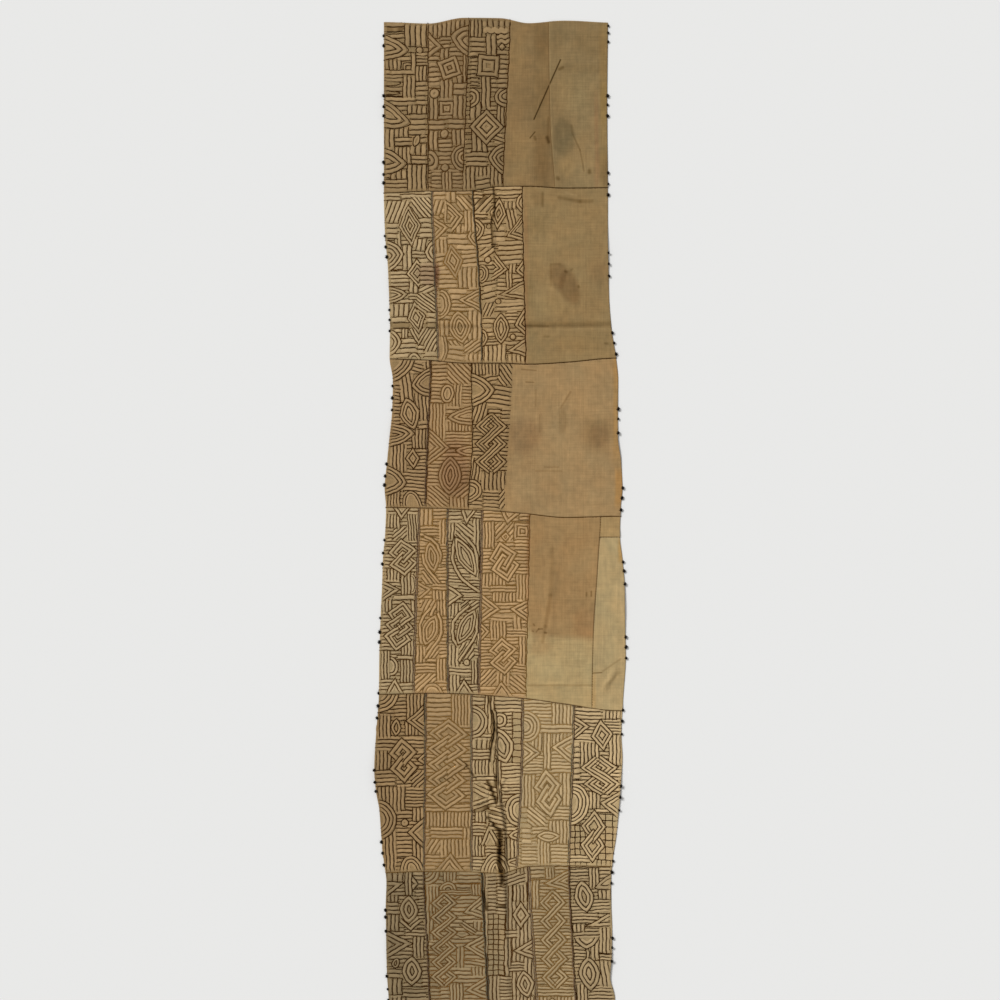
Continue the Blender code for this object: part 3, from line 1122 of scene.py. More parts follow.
def sampled(points: Floats, step: float) -> Floats:
    """The line with extra points, so that no two lie further apart than the step.

    Args:
        points: The line's points.
        step: The longest way between two points.

    Returns:
        The longer list of points.
    """
    parts = []
    for start, end in zip(points, points[1:]):
        count = max(1, math.ceil(float(np.hypot(*(end - start))) / step))
        parts.append(start + (end - start) * np.arange(count)[:, None] / count)
    return np.concatenate([*parts, points[-1:]])


def beside(points: Floats, way: float) -> Floats:
    """The line that runs at a given way beside an open one, with mitred corners.

    Args:
        points: The line's points.
        way: How far to the side, on either hand by its sign.

    Returns:
        The shifted line's points.
    """
    run = np.diff(points, axis=0)
    run /= np.hypot(run[:, 0], run[:, 1])[:, None]
    aside = np.stack([run[:, 1], -run[:, 0]], axis=1)
    both = np.vstack([aside[:1], aside]) + np.vstack([aside, aside[-1:]])
    share = np.maximum((both * both).sum(axis=1) / 2, MITRE_LIMIT)
    return points + both * (way / share)[:, None]


def within(points: Floats, polygon: Floats) -> Flags:
    """Which points lie inside a closed polygon.

    Args:
        points: The points to test.
        polygon: The polygon's corners in order.

    Returns:
        A flag for each point.
    """
    inside = np.zeros(len(points), bool)
    near = ((points > polygon.min(axis=0)) & (points < polygon.max(axis=0))).all(axis=1)
    if not near.any():
        return inside
    x, y = points[near].T
    odd = np.zeros(len(x), bool)
    for (x1, y1), (x2, y2) in zip(polygon, np.roll(polygon, -1, axis=0)):
        if y1 != y2:
            odd ^= ((y1 > y) != (y2 > y)) & (x < (x2 - x1) * (y - y1) / (y2 - y1) + x1)
    inside[near] = odd
    return inside


def way_along(points: Floats) -> Floats:
    """How far along its line each point lies."""
    return np.concatenate([[0.0], np.cumsum(np.linalg.norm(np.diff(points, axis=0), axis=1))])


def stretches(points: Floats, shown: Flags) -> list[Floats]:
    """The stretches of a line that show. A closed line that shows at its ends runs on there.

    Args:
        points: The line's points.
        shown: Whether each point shows.

    Returns:
        The points of each stretch that is long enough.
    """
    ends = np.flatnonzero(np.diff(shown)) + 1
    parts = [part for part in np.split(np.arange(len(points)), ends) if shown[part[0]]]
    closed = np.allclose(points[0], points[-1])
    if closed and len(parts) > 1 and shown[0] and shown[-1]:
        parts = [np.concatenate([parts[-1], parts[0][1:]]), *parts[1:-1]]
    runs = [points[part] for part in parts if len(part) > 1]
    return [run for run in runs if way_along(run)[-1] >= SHORTEST_RUN]


def needed(points: Floats, slack: float) -> list[int]:
    """Numbers of the points that a line needs to stay within a slack of its course.

    Args:
        points: The line's points.
        slack: How far the line may move.

    Returns:
        Rising numbers, with both ends and the middle.
    """
    last = len(points) - 1
    keep, spans = {0, last // 2, last}, [(0, last // 2), (last // 2, last)]
    while spans:
        first, end = spans.pop()
        if end - first < 2:
            continue
        run = points[end] - points[first]
        rest = points[first + 1 : end] - points[first]
        share = np.clip(rest @ run / max(run @ run, 1e-12), 0, 1)
        off = np.linalg.norm(rest - share[:, None] * run, axis=1)
        if off.max() > slack:
            middle = first + 1 + int(off.argmax())
            keep.add(middle)
            spans += [(first, middle), (middle, end)]
    return sorted(keep)


@dataclass(frozen=True)
class Stripes:
    """A block of parallel lines between two corners. At a turn of 0 they run across."""

    x1: float
    y1: float
    x2: float
    y2: float
    pitch: float
    turn: float = 0.0
    wave: float = 0.0

    def footprint(self) -> list[Floats]:
        """The area that hides what lies lower in the chart.

        Returns:
            The corners of one area.
        """
        wide = EDGE_COVER * abs(math.sin(math.radians(self.turn)))
        high = EDGE_COVER * abs(math.cos(math.radians(self.turn)))
        x1, x2, y1, y2 = self.x1 - wide, self.x2 + wide, self.y1 - high, self.y2 + high
        return [np.array([(x1, y1), (x2, y1), (x2, y2), (x1, y2)])]

    def line(self, aside: float) -> Floats:
        """One line at a given way beside the block's middle, cut to the block.

        Args:
            aside: How far beside the middle.

        Returns:
            The line's points, or none.
        """
        corners = np.array([[self.x1, self.y1], [self.x2, self.y2]])
        angle = math.radians(self.turn)
        along = np.array([math.cos(angle), math.sin(angle)])
        across = np.array([-along[1], along[0]])
        half = float(np.hypot(*(corners[1] - corners[0]))) / 2
        run = np.arange(-half, half + SAMPLE, SAMPLE)[:, None]
        points = corners.mean(axis=0) + along * run + across * (aside + self.wave * np.sin(run * WAVE_RATE))
        inside = (points >= corners[0] - EDGE_SLACK) & (points <= corners[1] + EDGE_SLACK)
        return points[inside.all(axis=1)]

    def strokes(self) -> Iterator[Stroke]:
        """The block's lines and the raised bands between them.

        Returns:
            The strokes, one after the other.
        """
        angle = math.radians(self.turn)
        wide, high = self.x2 - self.x1, self.y2 - self.y1
        span = abs(math.sin(angle)) * wide + abs(math.cos(angle)) * high
        count = max(1, round(span / self.pitch))
        pitch = span / count
        for i in range(2 * count + 1):
            points = self.line(i * pitch / 2 - span / 2)
            if len(points) > 1:
                yield Stroke(points, i % 2 == 1, pitch)


@dataclass(frozen=True)
class Squares:
    """A block of small stitched squares between two corners."""

    x1: float
    y1: float
    x2: float
    y2: float
    pitch: float

    def footprint(self) -> list[Floats]:
        """The area that hides what lies lower in the chart."""
        return Stripes(self.x1, self.y1, self.x2, self.y2, self.pitch).footprint()

    def strokes(self) -> Iterator[Stroke]:
        """Lines of stitches in both directions.

        Returns:
            The strokes, one after the other.
        """
        for turn in (0.0, 90.0):
            block = Stripes(self.x1, self.y1, self.x2, self.y2, self.pitch, turn)
            yield from (stroke for stroke in block.strokes() if not stroke.raised)


class Bulge(Enum):
    """How round the sides of a form are, from straight to the round of a circle."""

    STRAIGHT = 0.0
    POINTED = 0.55
    ROUND = 1.0

    def inset(self, reach: float, half: float, way: float) -> tuple[float, float]:
        """Reach and half width of the same form, drawn a given way further in.

        Args:
            reach: From the middle to the tip.
            half: Half the width.
            way: How far further in.

        Returns:
            The smaller reach and half width.
        """
        slope = math.hypot(reach, half)
        straight = (reach - way * slope / half, half - way * slope / reach)
        return tuple(
            value + (size - way - value) * self.value for value, size in zip(straight, (reach, half))
        )

    def flank(self, reach: float, half: float) -> Floats:
        """One side of a form, from the end of its base to its tip.

        Args:
            reach: From the middle to the tip.
            half: Half the width.

        Returns:
            The side's points.
        """
        t = np.linspace(0, 1, 2 if self is Bulge.STRAIGHT else FLANK_POINTS)[:, None]
        straight = np.hstack([reach * t, half * (1 - t)])
        rounded = np.hstack([reach * np.sin(t * np.pi / 2), half * np.cos(t * np.pi / 2)])
        return straight + (rounded - straight) * self.value


class Nested:
    """A form that is drawn again and again inside itself."""

    lines: float
    pitch: float

    def outline(self, way: float) -> Floats | None:
        """The form's line a given way further in, or None where no room is left."""
        raise NotImplementedError

    def footprint(self) -> list[Floats]:
        """The area that hides what lies lower in the chart."""
        return [self.outline(-EDGE_COVER)]

    def strokes(self) -> Iterator[Stroke]:
        """The nested lines, and the raised bands inside them.

        Returns:
            The strokes, one after the other.
        """
        for i in range(2 * int(self.lines)):
            points = self.outline(i * self.pitch / 2)
            if points is not None:
                yield Stroke(points, i % 2 == 1, self.pitch)


@dataclass(frozen=True)
class HalfForm(Nested):
    """A nested form that stands with its open base on a line: two base ends and a tip."""

    bulge: Bulge
    x1: float
    y1: float
    x2: float
    y2: float
    tip_x: float
    tip_y: float
    lines: float
    pitch: float

    def outline(self, way: float) -> Floats | None:
        """The form's line a given way further in, or None where no room is left.

        Args:
            way: How far further in, in squares.

        Returns:
            The open line's points, or None.
        """
        ends = np.array([[self.x1, self.y1], [self.x2, self.y2]])
        base = ends.mean(axis=0)
        up, side = np.array([self.tip_x, self.tip_y]) - base, ends[0] - base
        full_reach, full_half = float(np.hypot(*up)), float(np.hypot(*side))
        reach, half = self.bulge.inset(full_reach, full_half, way)
        if min(reach, half) < LEAST_FORM:
            return None
        one = self.bulge.flank(reach, half)
        both = np.vstack([one, (one[::-1] * (1, -1))[1:]])
        return base + both[:, :1] * up / full_reach + both[:, 1:] * side / full_half


@dataclass(frozen=True)
class WholeForm(Nested):
    """A nested closed form round a centre, turned clockwise by a number of degrees."""

    bulge: Bulge
    x: float
    y: float
    half_wide: float
    half_high: float
    turn: float
    lines: float
    pitch: float

    def outline(self, way: float) -> Floats | None:
        """The form's line a given way further in, or None where no room is left.

        Args:
            way: How far further in, in squares.

        Returns:
            The closed line's points, or None.
        """
        high, wide = self.bulge.inset(self.half_high, self.half_wide, way)
        if min(high, wide) < LEAST_FORM:
            return None
        one = self.bulge.flank(high, wide)
        right = np.vstack([one[::-1], (one * (-1, 1))[1:]])
        ring = np.vstack([right, (right[::-1] * (1, -1))[1:]])[:, ::-1]
        angle = math.radians(self.turn)
        cosine, sine = math.cos(angle), math.sin(angle)
        return ring @ np.array([[cosine, sine], [-sine, cosine]]) + (self.x, self.y)


class Strap:
    """A band of parallel lines along an open path, which passes over what lies lower."""

    def __init__(self, lines: float, pitch: float, *places: float) -> None:
        """Takes the lines and the path.

        Args:
            lines: How many lines run along it.
            pitch: The way between two of them.
            places: x and y of each corner.
        """
        self.lines = int(lines)
        self.pitch = pitch
        self.path = np.array(places).reshape(-1, 2)

    def footprint(self) -> list[Floats]:
        """The area that hides what lies lower in the chart."""
        way = (self.lines - 1) * self.pitch / 2 + EDGE_COVER
        return [np.vstack([beside(self.path, way), beside(self.path, -way)[::-1]])]

    def strokes(self) -> Iterator[Stroke]:
        """The strap's lines, and the raised bands between them.

        Returns:
            The strokes, one after the other.
        """
        for i in range(2 * self.lines - 1):
            points = beside(self.path, (i - self.lines + 1) * self.pitch / 2)
            yield Stroke(points, i % 2 == 1, self.pitch)


@dataclass(frozen=True)
class Plait:
    """A chain of lozenges that two zigzag straps make by passing over and under each other."""

    x: float
    y1: float
    y2: float
    half_wide: float
    lozenges: float
    lines: float
    pitch: float
    lean: float = 0.0

    def path(self, side: int) -> Floats:
        """The zigzag that starts from the top tip to the right (1) or to the left (-1).

        Args:
            side: 1 or -1.

        Returns:
            The zigzag's corners.
        """
        count = int(self.lozenges)
        long = self.y2 - self.y1
        down = np.array([0.0, *(np.arange(count) + 0.5), count]) * long / count
        swing = side * self.half_wide * np.array([0.0, *(-1.0) ** np.arange(count), 0.0])
        return np.stack([self.x + swing + self.lean * (down / long - 0.5), self.y1 + down], axis=1)

    def bridges(self, side: int) -> tuple[Floats, ...]:
        """Where the other strap covers this one.

        Args:
            side: The strap that passes under, 1 or -1.

        Returns:
            The corners of each covered area.
        """
        path = self.path(-side)
        way = (self.lines - 1) * self.pitch / 2 + EDGE_COVER
        found = []
        for i in range(1, int(self.lozenges)):
            if (i % 2 == 1) == (side > 0):
                start, run = path[i], path[i + 1] - path[i]
                middle = start + run * np.array(BRIDGE_ENDS)[:, None]
                found.append(np.vstack([beside(middle, way), beside(middle, -way)[::-1]]))
        return tuple(found)

    def strap(self, side: int) -> Strap:
        """One of the two straps."""
        return Strap(self.lines, self.pitch, *self.path(side).ravel())

    def footprint(self) -> list[Floats]:
        """The area that hides what lies lower in the chart."""
        return self.strap(1).footprint() + self.strap(-1).footprint()

    def strokes(self) -> Iterator[Stroke]:
        """The lines and raised bands of both straps, cut where a strap passes under.

        Returns:
            The strokes, one after the other.
        """
        for side in (1, -1):
            cuts = self.bridges(side)
            for stroke in self.strap(side).strokes():
                yield stroke._replace(cuts=cuts)


@dataclass(frozen=True)
class Link:
    """A chain of lozenge rings hooked together, with the sides that rise to the right on top."""

    x: float
    y: float
    half_wide: float
    half_high: float
    turn: float
    rings: float
    step: float
    lines: float
    pitch: float

    def ring(self, number: int, way: float) -> Floats:
        """One ring's line a given way further in: foot, right, top, left and foot.

        Args:
            number: The ring, from 0.
            way: How far further in.

        Returns:
            The ring's points.
        """
        angle = math.radians(self.turn)
        down = number * self.step
        x, y = self.x - math.sin(angle) * down, self.y + math.cos(angle) * down
        sizes = (self.half_wide, self.half_high, self.turn, self.lines, self.pitch)
        return WholeForm(Bulge.STRAIGHT, x, y, *sizes).outline(way)

    def side(self, number: int, corner: int) -> tuple[Floats, ...]:
        """The area of one side of a ring, from a corner to the next.

        Args:
            number: The ring, from 0.
            corner: Where the side starts.

        Returns:
            One area, or none where there is no such ring.
        """
        if not 0 <= number < int(self.rings):
            return ()
        outer = self.ring(number, -EDGE_COVER)[corner : corner + 2]
        inner = self.ring(number, (self.lines - 1) * self.pitch + EDGE_COVER)[corner : corner + 2]
        return (np.vstack([outer, inner[::-1]]),)

    def footprint(self) -> list[Floats]:
        """The area that hides what lies lower in the chart."""
        return [self.ring(number, -EDGE_COVER) for number in range(int(self.rings))]

    def strokes(self) -> Iterator[Stroke]:
        """The lines and raised bands of each ring, cut where another ring passes over it.

        Returns:
            The strokes, one after the other.
        """
        for number in range(int(self.rings)):
            cuts = self.side(number - 1, FOOT_CORNER) + self.side(number + 1, TOP_CORNER)
            for i in range(2 * int(self.lines) - 1):
                yield Stroke(self.ring(number, i * self.pitch / 2), i % 2 == 1, self.pitch, cuts)


Motif = Stripes | Squares | HalfForm | WholeForm | Strap | Plait | Link


class Form(Enum):
    """The words of the chart. The numbers after a word are its motif's fields, all but the bulge."""

    ROWS = "rows"
    BARS = "bars"
    WAVES = "waves"
    GRID = "grid"
    HORN = "horn"
    LEAF = "leaf"
    DOME = "dome"
    GEM = "gem"
    EYE = "eye"
    RING = "ring"
    STRAP = "strap"
    PLAIT = "plait"
    LINK = "link"

    def motif(self, numbers: list[float], pitch: float) -> Motif:
        """Makes the motif.

        Args:
            numbers: The numbers that follow the word in the chart.
            pitch: The cell's usual way between two lines, used where the chart gives none.

        Returns:
            The motif, in squares.
        """
        half = {Form.HORN: Bulge.STRAIGHT, Form.LEAF: Bulge.POINTED, Form.DOME: Bulge.ROUND}
        whole = {Form.GEM: Bulge.STRAIGHT, Form.EYE: Bulge.POINTED, Form.RING: Bulge.ROUND}
        if self is Form.STRAP:
            return Strap(*numbers)
        if self is Form.LINK:
            return Link(*numbers)
        # How many numbers the kind takes with its pitch
        usual = 8 if self in half else 7 if self in whole or self is Form.PLAIT else 5
        numbers = numbers if len(numbers) >= usual else [*numbers, pitch]
        if self in half:
            return HalfForm(half[self], *numbers)
        if self in whole:
            return WholeForm(whole[self], *numbers)
        if self is Form.PLAIT:
            return Plait(*numbers)
        if self is Form.GRID:
            return Squares(*numbers)
        turn = (numbers[5] if len(numbers) > 5 else 0.0) + (90.0 if self is Form.BARS else 0.0)
        return Stripes(*numbers[:5], turn, WAVE if self is Form.WAVES else 0.0)


def motifs(chart: str, pitch: float) -> list[Motif]:
    """Reads a chart: motifs with commas or new lines between them, each a word and its numbers."""
    entries = [entry.split() for entry in chart.replace("\n", ",").split(",")]
    return [Form(entry[0]).motif([float(x) for x in entry[1:]], pitch) for entry in entries if entry]


class ClothHue(Enum):
    """The tan of the cloth, from 0 to 255, in four mixtures."""

    GREYED = (173, 149, 109)
    TAWNY = (172, 143, 100)
    WARM = (170, 140, 98)
    RUDDY = (177, 144, 100)


class ThreadHue(Enum):
    """Colours of thread, from 0 to 255."""

    DARK = (60, 34, 4)
    UMBER = (76, 46, 9)
    RUST = (86, 57, 22)
    BROWN = (112, 78, 36)
    OCHRE = (124, 92, 46)
    STRAW = (142, 112, 66)
    PLUM = (100, 78, 62)
    SLATE = (96, 90, 72)
    BLACK = (26, 22, 19)
    SAND = (122, 97, 62)


class Couched(Enum):
    """Looks of a line between two cells: (squares to the right, thread) for each thread of it."""

    DARK = ((0.0, ThreadHue.DARK),)
    PAIR = ((-0.6, ThreadHue.PLUM), (0.5, ThreadHue.DARK))
    SHADE = ((-0.6, ThreadHue.SLATE), (0.5, ThreadHue.DARK))
    FADED = ((-0.8, ThreadHue.PLUM), (0.8, ThreadHue.PLUM))
    GREY = ((-0.7, ThreadHue.SLATE), (0.6, ThreadHue.PLUM))
    SLATE = ((-0.9, ThreadHue.SLATE), (0.0, ThreadHue.DARK), (0.9, ThreadHue.SLATE))
    LIGHT = ((0.0, ThreadHue.OCHRE),)
    BARE = ()


class Divider(NamedTuple):
    """A line between two cells: squares from the middle line at the row's top, middle and foot."""

    top: float
    middle: float
    foot: float
    look: Couched


class Cell(NamedTuple):
    """One embroidered cell. Its chart starts from `left` squares right of the middle line."""

    left: float
    cloth: ClothHue
    thread: ThreadHue
    pitch: float
    chart: str


class Row(NamedTuple):
    """One row of the cloth: its seams, its squares down, its tone at both sides, and its cells."""

    name: str
    above: str
    under: str
    top: float
    foot: float
    tone: tuple[float, float]
    plain: Colour
    dividers: tuple[Divider, ...]
    cells: tuple[Cell, ...]


# The cells' charts. An entry lies over those that come after it.
PANEL_1_CELLS = (
    Cell(-116, ClothHue.TAWNY, ThreadHue.DARK, 4.5, """
        rows 0 2 20 12, ring 35.6 30 3.4 3.4 0 1, strap 2 4.6 29.6 33 29.6 52.4 7 52.4
        strap 2 3 20.5 49 20.5 44.5 27.5 44.5, leaf 0 14.8 0 40.3 25.3 30.6 3 4.3
        bars 20.7 3 42.5 27 5.4, rows 25 27 32 33, rows 31.6 35.7 42.5 45.5 3.3, bars 1 40 17 49
        bars 31.6 46 42.5 61.5 3.3, bars 19 56 31.3 77.5 4.1, dome 0 61 0 66 16.3 63.5 1
        dome 0 71.3 0 75 16.3 73 1, rows 0 58 19 76, rows 31.6 61.5 42.5 85 4.6
        leaf 0 79.5 0 107.5 26.4 103.5 3, bars 23.5 85 42.5 94 4.8, rows 26 94 42.5 104.7 5
        rows 25.5 104.7 42.5 115 4.8, leaf 0 128.2 0 154.6 22.7 144 3, bars 1 108 10.5 128 4
        bars 10.5 108 24.5 117.5 4.3, rows 10.5 117.5 27 126 3.9, eye 32.5 120.5 3.4 6.8 23 2 2.8
        rows 36.5 113 42.5 123 4.4, bars 26 124 42.5 135 4.8, bars 10.5 127 27 143 4.6
        rows 25 135.5 42.5 144 4.2, bars 23.5 144.5 42.5 172 5.2, bars 7 150 23 159.5 4.7
        rows 0 159.5 23 172 4, rows -4 -4 50 176
    """),
    Cell(-72, ClothHue.WARM, ThreadHue.RUST, 4.5, """
        horn 0 11.6 0 38.6 14.8 27.1 3, leaf 41 5.9 41 36.9 22.6 17.1 3, bars 0.5 0 41 17 4.6
        gem 21.5 48 14 14 25 3 4, rows 12 17 22 28 3.6, bars 12 29 21 39 4.3, rows 0 43 12.5 66 5 -6
        bars 35 28 41 62 4, bars 24 57 34 63, rows 25 63 40 75 4.8, ring 6.5 73.6 4.9 4.9 0 1
        bars 12 60 25 78 5, gem 18.5 88.5 10 10 45 3 3.6, bars 25 75 40 98, bars 1.5 78 10 100 4.6
        rows 1 100 17 110, rows 20 99 38 109 4.3, ring 16.3 113.9 4.3 4.3 0 1, bars 1 110 10 130 4
        bars 24 109 37 125 4, dome 0.8 130 0.8 150.6 11.1 142 3, dome 36 124 36 151 23.1 138.5 4 3.4
        rows 10.5 119 24 136, ring 16.8 147.7 4 4 0 1, bars 14 152 24 172 3.5, rows 3 152 14 172 4
        rows 24 152 34 172 4, rows -4 -4 50 176
    """),
    Cell(-34, ClothHue.TAWNY, ThreadHue.DARK, 4.5, """
        gem 36 26.5 4 4 0 1, gem 22.3 46 15 15 50 2 4.6, bars 4.5 0 16 17 4.4, bars 16 0 44 8 6
        waves 16.5 7 44 14 5.5, waves 30.5 14 44 24 5.5, rows 4.5 17 19.5 32 4.9
        bars 20 13.5 30.5 36 4.9, rows 31 30 43.5 68 5, bars 16 36 28 56 4.6 -40, rows 4.5 38 13 66 4.2
        dome 4.5 68.4 4.5 87.5 14 77.5 3 3.5, dome 41.7 64.5 41.7 87 28.7 78 3 3.7
        bars 15.5 56 24.5 88 4.3, gem 20.6 107 17.6 18.2 0 4 4.1, bars 4 83 15 100 4.4
        bars 31 84 42 106 3.7, leaf 38 123.6 36 154 22.4 136.5 4 3.4, rows 0 115 5.5 133 5
        bars 5.8 108 21 132 5, rows 28 114 38 124 4 15, rows 0 132 21.8 146.5 4.8
        bars -4 146.5 8.8 172 5, bars 8.8 146.5 24.5 156.5 4, rows 8.8 156.5 24 172 3.9 -8
        bars 24.5 146 36 167 3.6, rows -4 -4 50 176
    """),
)
PANEL_2_CELLS = (
    Cell(-116, ClothHue.GREYED, ThreadHue.UMBER, 4.2, """
        rows 36 72.5 50.5 95 4.6, gem 25.8 35.9 11.2 21.5 -5 4 2.7, rows 35 28 49 48 4.9
        rows 0 33 14 48.8 4.9, rows 0 3 17 10.6 3.8, bars 27 7 49 28 3.5 -40, bars 26 12 38 36 3 -33
        bars 0 10.6 27 33 4 20, leaf 2 50.5 2 83 20.4 64 4 3.3, bars 10.5 43 17 60
        leaf 51 49.5 51 74.5 40.5 62 3 3.3, gem 33.5 83 11 14.6 -4 4 2.9, bars 18.5 55 28 80 4.3
        bars 30 48 45 60.5 4.3 12, rows 28.5 61 42 68 4.5, rows 31 68 51 74 4.6, rows 4 81 25 96.5 4.4
        leaf 4.5 97 4.5 114.5 24 104 3 3, bars 25 91.5 34 103.5, bars 33 103.5 54 122 3.1 -53
        rows 34 94 52 104 4.2 -22, gem 32.5 127.6 9.5 16.6 -9 4 2.7, rows 25 103.5 36 110 3.6
        bars 5 113.5 25 126.5 4.7, rows 6 127 26 138.5 4.7, horn 24.5 138 45.5 138 34.5 156 3 3
        rows 43 122.5 55 138 4.7, leaf 6.5 139.5 6.5 166 17.5 151 3 3.2, bars 18 139 24 148 4
        rows 16 148.5 33 163 4.6, bars 40 140 55 161.5 3.6 30, rows 40 161.5 56 172 4.4
        dome 24 171 37 171 30.4 163 2 3, rows -4 -4 60 176
    """),
    Cell(-68, ClothHue.WARM, ThreadHue.OCHRE, 4.2, """
        ring 9.5 25.8 2.4 2.4 0 1, horn 14 10 20 43 32 26.4 4 3.1, horn 2 27 4 50 16.5 37.5 3 3.2
        rows 0 2 14 9.5 3.6 -6, bars 0 9.5 12 24 3.8 20, bars 12 9.5 15 32 3, bars 14 2 24 12 4
        bars 24 6 42 20 3.6 -42, bars 32 18 43 42 3.6, leaf 44 37.5 45 58 35.5 46.5 3 3
        bars 24 35 34 43 4, rows 15.5 43.5 37 54.5 5.2, gem 21.2 71 10 18 -10 4 2.8
        rows 24 54.5 46 60 5, rows 29 60 48 77 4.6 -4, bars 4 49 15.5 63 3.8, rows 4 63 14 80 4.6 -10
        bars 26 77 49 98, rows 6 80 25 98.5 4.9, dome 8 99.5 8 129 19 113 3 3
        horn 49 97.5 49 122 25.5 110 3 3.1, rows 16 98.5 36 110 4.8, rows 19 110 34 121 4
        eye 28 137 11.5 16.5 -8 4 2.9, bars 36 120.5 50 150 4.5, bars 8 130 17 146 4
        dome 8 141 8 174 16 157 2 3, rows 16 146.5 24 150 3.5, rows 32 147 50 163 3.4 -34
        rows 15 156 33 174 4.4 6, bars 33 163 50 174 4, bars 15 146 34 156 3.4 -35, rows -4 -4 60 176
    """),
    Cell(-27, ClothHue.TAWNY, ThreadHue.UMBER, 4.2, """
        gem 25.4 23.5 8.5 16 5 3 2.8, horn 50 24 50 51.5 33.5 46.5 3 2.8
        leaf 50 3 50 23 42.3 13.5 3 2.8, rows 23 2.5 50 11 3.6 -3, bars 31 11 43 19 3.6
        bars 33 19 44 39 4 -10, rows 0 2 10 8.5 3.2, rows 0 5 19 22 4 -46, ring 15.8 36.7 2.5 2.5 0 1
        leaf 1 28 4.5 51 11.5 37 3 2.8, rows 1 21 14 28 3.4, rows 6 42 19 57 4.4 -8
        rows 20 36 33 52 4.8 -3, ring 15 69.7 3.3 3.3 0 1, dome 8 74 9 93 15.5 83 3 2.7
        horn 22 63 19 91.5 35 79.5 4 2.9, horn 51 68 52 88.5 42.5 81 3 2.8, rows 24 51.5 50 74 4.6 -3
        rows 7 56 21 67 4.4 -36, bars 36 74 43 83 3.6, bars 33 82 39 97 4
        horn 51 90 51 109.5 25.5 105 2 3, ring 25.4 111.6 2.7 2.7 0 1, rows 39 86 50 95 4 -12
        rows 10 88 24 98 4 -8, rows 10 98 23 112 5 -14, bars 10 112 21 126 3.4 27
        eye 28 138.5 8.3 15.5 0 3 2.8, horn 51 118.5 54 147 41 135.5 3 3, ring 40.3 147 2.9 2.9 0 1
        rows 23 113.5 51 120 3.4 -3, rows 33 120 45 130 3.6, rows 10 124 24 138.5 4.4 2
        leaf 10 139 11 156 15 147 2 2.8, horn 54 147.5 54 167 33.5 161 2 3.2, rows 12 149 25 155 4
        bars 11 154.5 33 174 4.3, bars 35 165 52 174 4, rows -4 -4 60 176
    """),
)
PANEL_3_CELLS = (
    Cell(-110, ClothHue.TAWNY, ThreadHue.DARK, 3.6, """
        eye 19.7 53.9 10 16.2 -13 3 3.1, gem 23 98.6 7.4 10.6 -2 3 3, leaf 40 7.5 40 36.5 21 25.3 3 3.2
        ring -4 -6 29 28.5 0 4 3.4, leaf 0 63 -1 87 25 73.5 4 3.2, leaf -2 105.5 -5 136 16.8 122.4 3 3.2
        dome 13 148 33 148 20.5 131 2 2.7, rows 20 2 33 13 3.6 18, bars 33 2 40 9 3.6
        rows 1 22 10 64 3.5 4, bars 7 13 24 42 3.8 -8, bars 23 34 39 60.5 3.6 -4, rows 28 60.5 39 69 3.6
        bars 22 69 39 88.5 3.3, bars 0 84 17 112 3.3 1, rows 27 88.5 39 103 3.3
        rows 13.5 103 39 134 3.8 4, bars -5 129 10 147 3.3, rows -8 -4 60 160
    """),
    Cell(-70, ClothHue.RUDDY, ThreadHue.BROWN, 3.7, """
        ring 17.4 33.6 6.9 9.2 0 2 3.1, eye 20 115.5 12 19.5 3 4 3.1
        leaf 41.5 46 41.5 65.5 17.4 57.4 3 3.2, horn 0 69 -1 104.5 20 87.6 4 3.1
        leaf 41 85 41 97 25.3 90.6 2 3, bars 17 2 41 24 3.6 -45, rows 0 1 17.5 43 3.8
        bars 17.5 8 32 46 3.4 3, rows 30.5 20 41 46 3.3 3, bars 0 43 15.5 80 3.3 1
        rows 15.5 45.5 30 54 3.4, bars 15.5 62 41 71.5 3.1, rows 15.5 71.5 41 88 3.3
        bars -2 126 18 148 3.4 -50, bars 22 124 39 137.5 3.4 48, bars 16 137.5 38 150 3.4
        rows -8 -4 60 160
    """),
    Cell(-29, ClothHue.TAWNY, ThreadHue.DARK, 3.8, """
        plait 20 57.5 110.5 -9.6 3 4 3, leaf 1 13.5 1 47.5 23.7 30 3 3.5
        dome -3 119.5 -4 143.5 11 130 3 3.2, bars 1 3.5 28 15 3.4, bars 27 3.5 42 25 3.6 -35
        rows 13 14.5 31 23 3.6 -10, rows 16 23 42 47 4.2 7, rows 30 47 42 62 3.8 3
        bars 1 43 17 62 3.4 18, bars -3 98 10 121 3.2 8, bars 10 112 34 130 3.7
        rows 12 130 28 150 3.8 5, bars 25 128 40 152 3.4 35, rows -8 -4 60 160
    """),
)
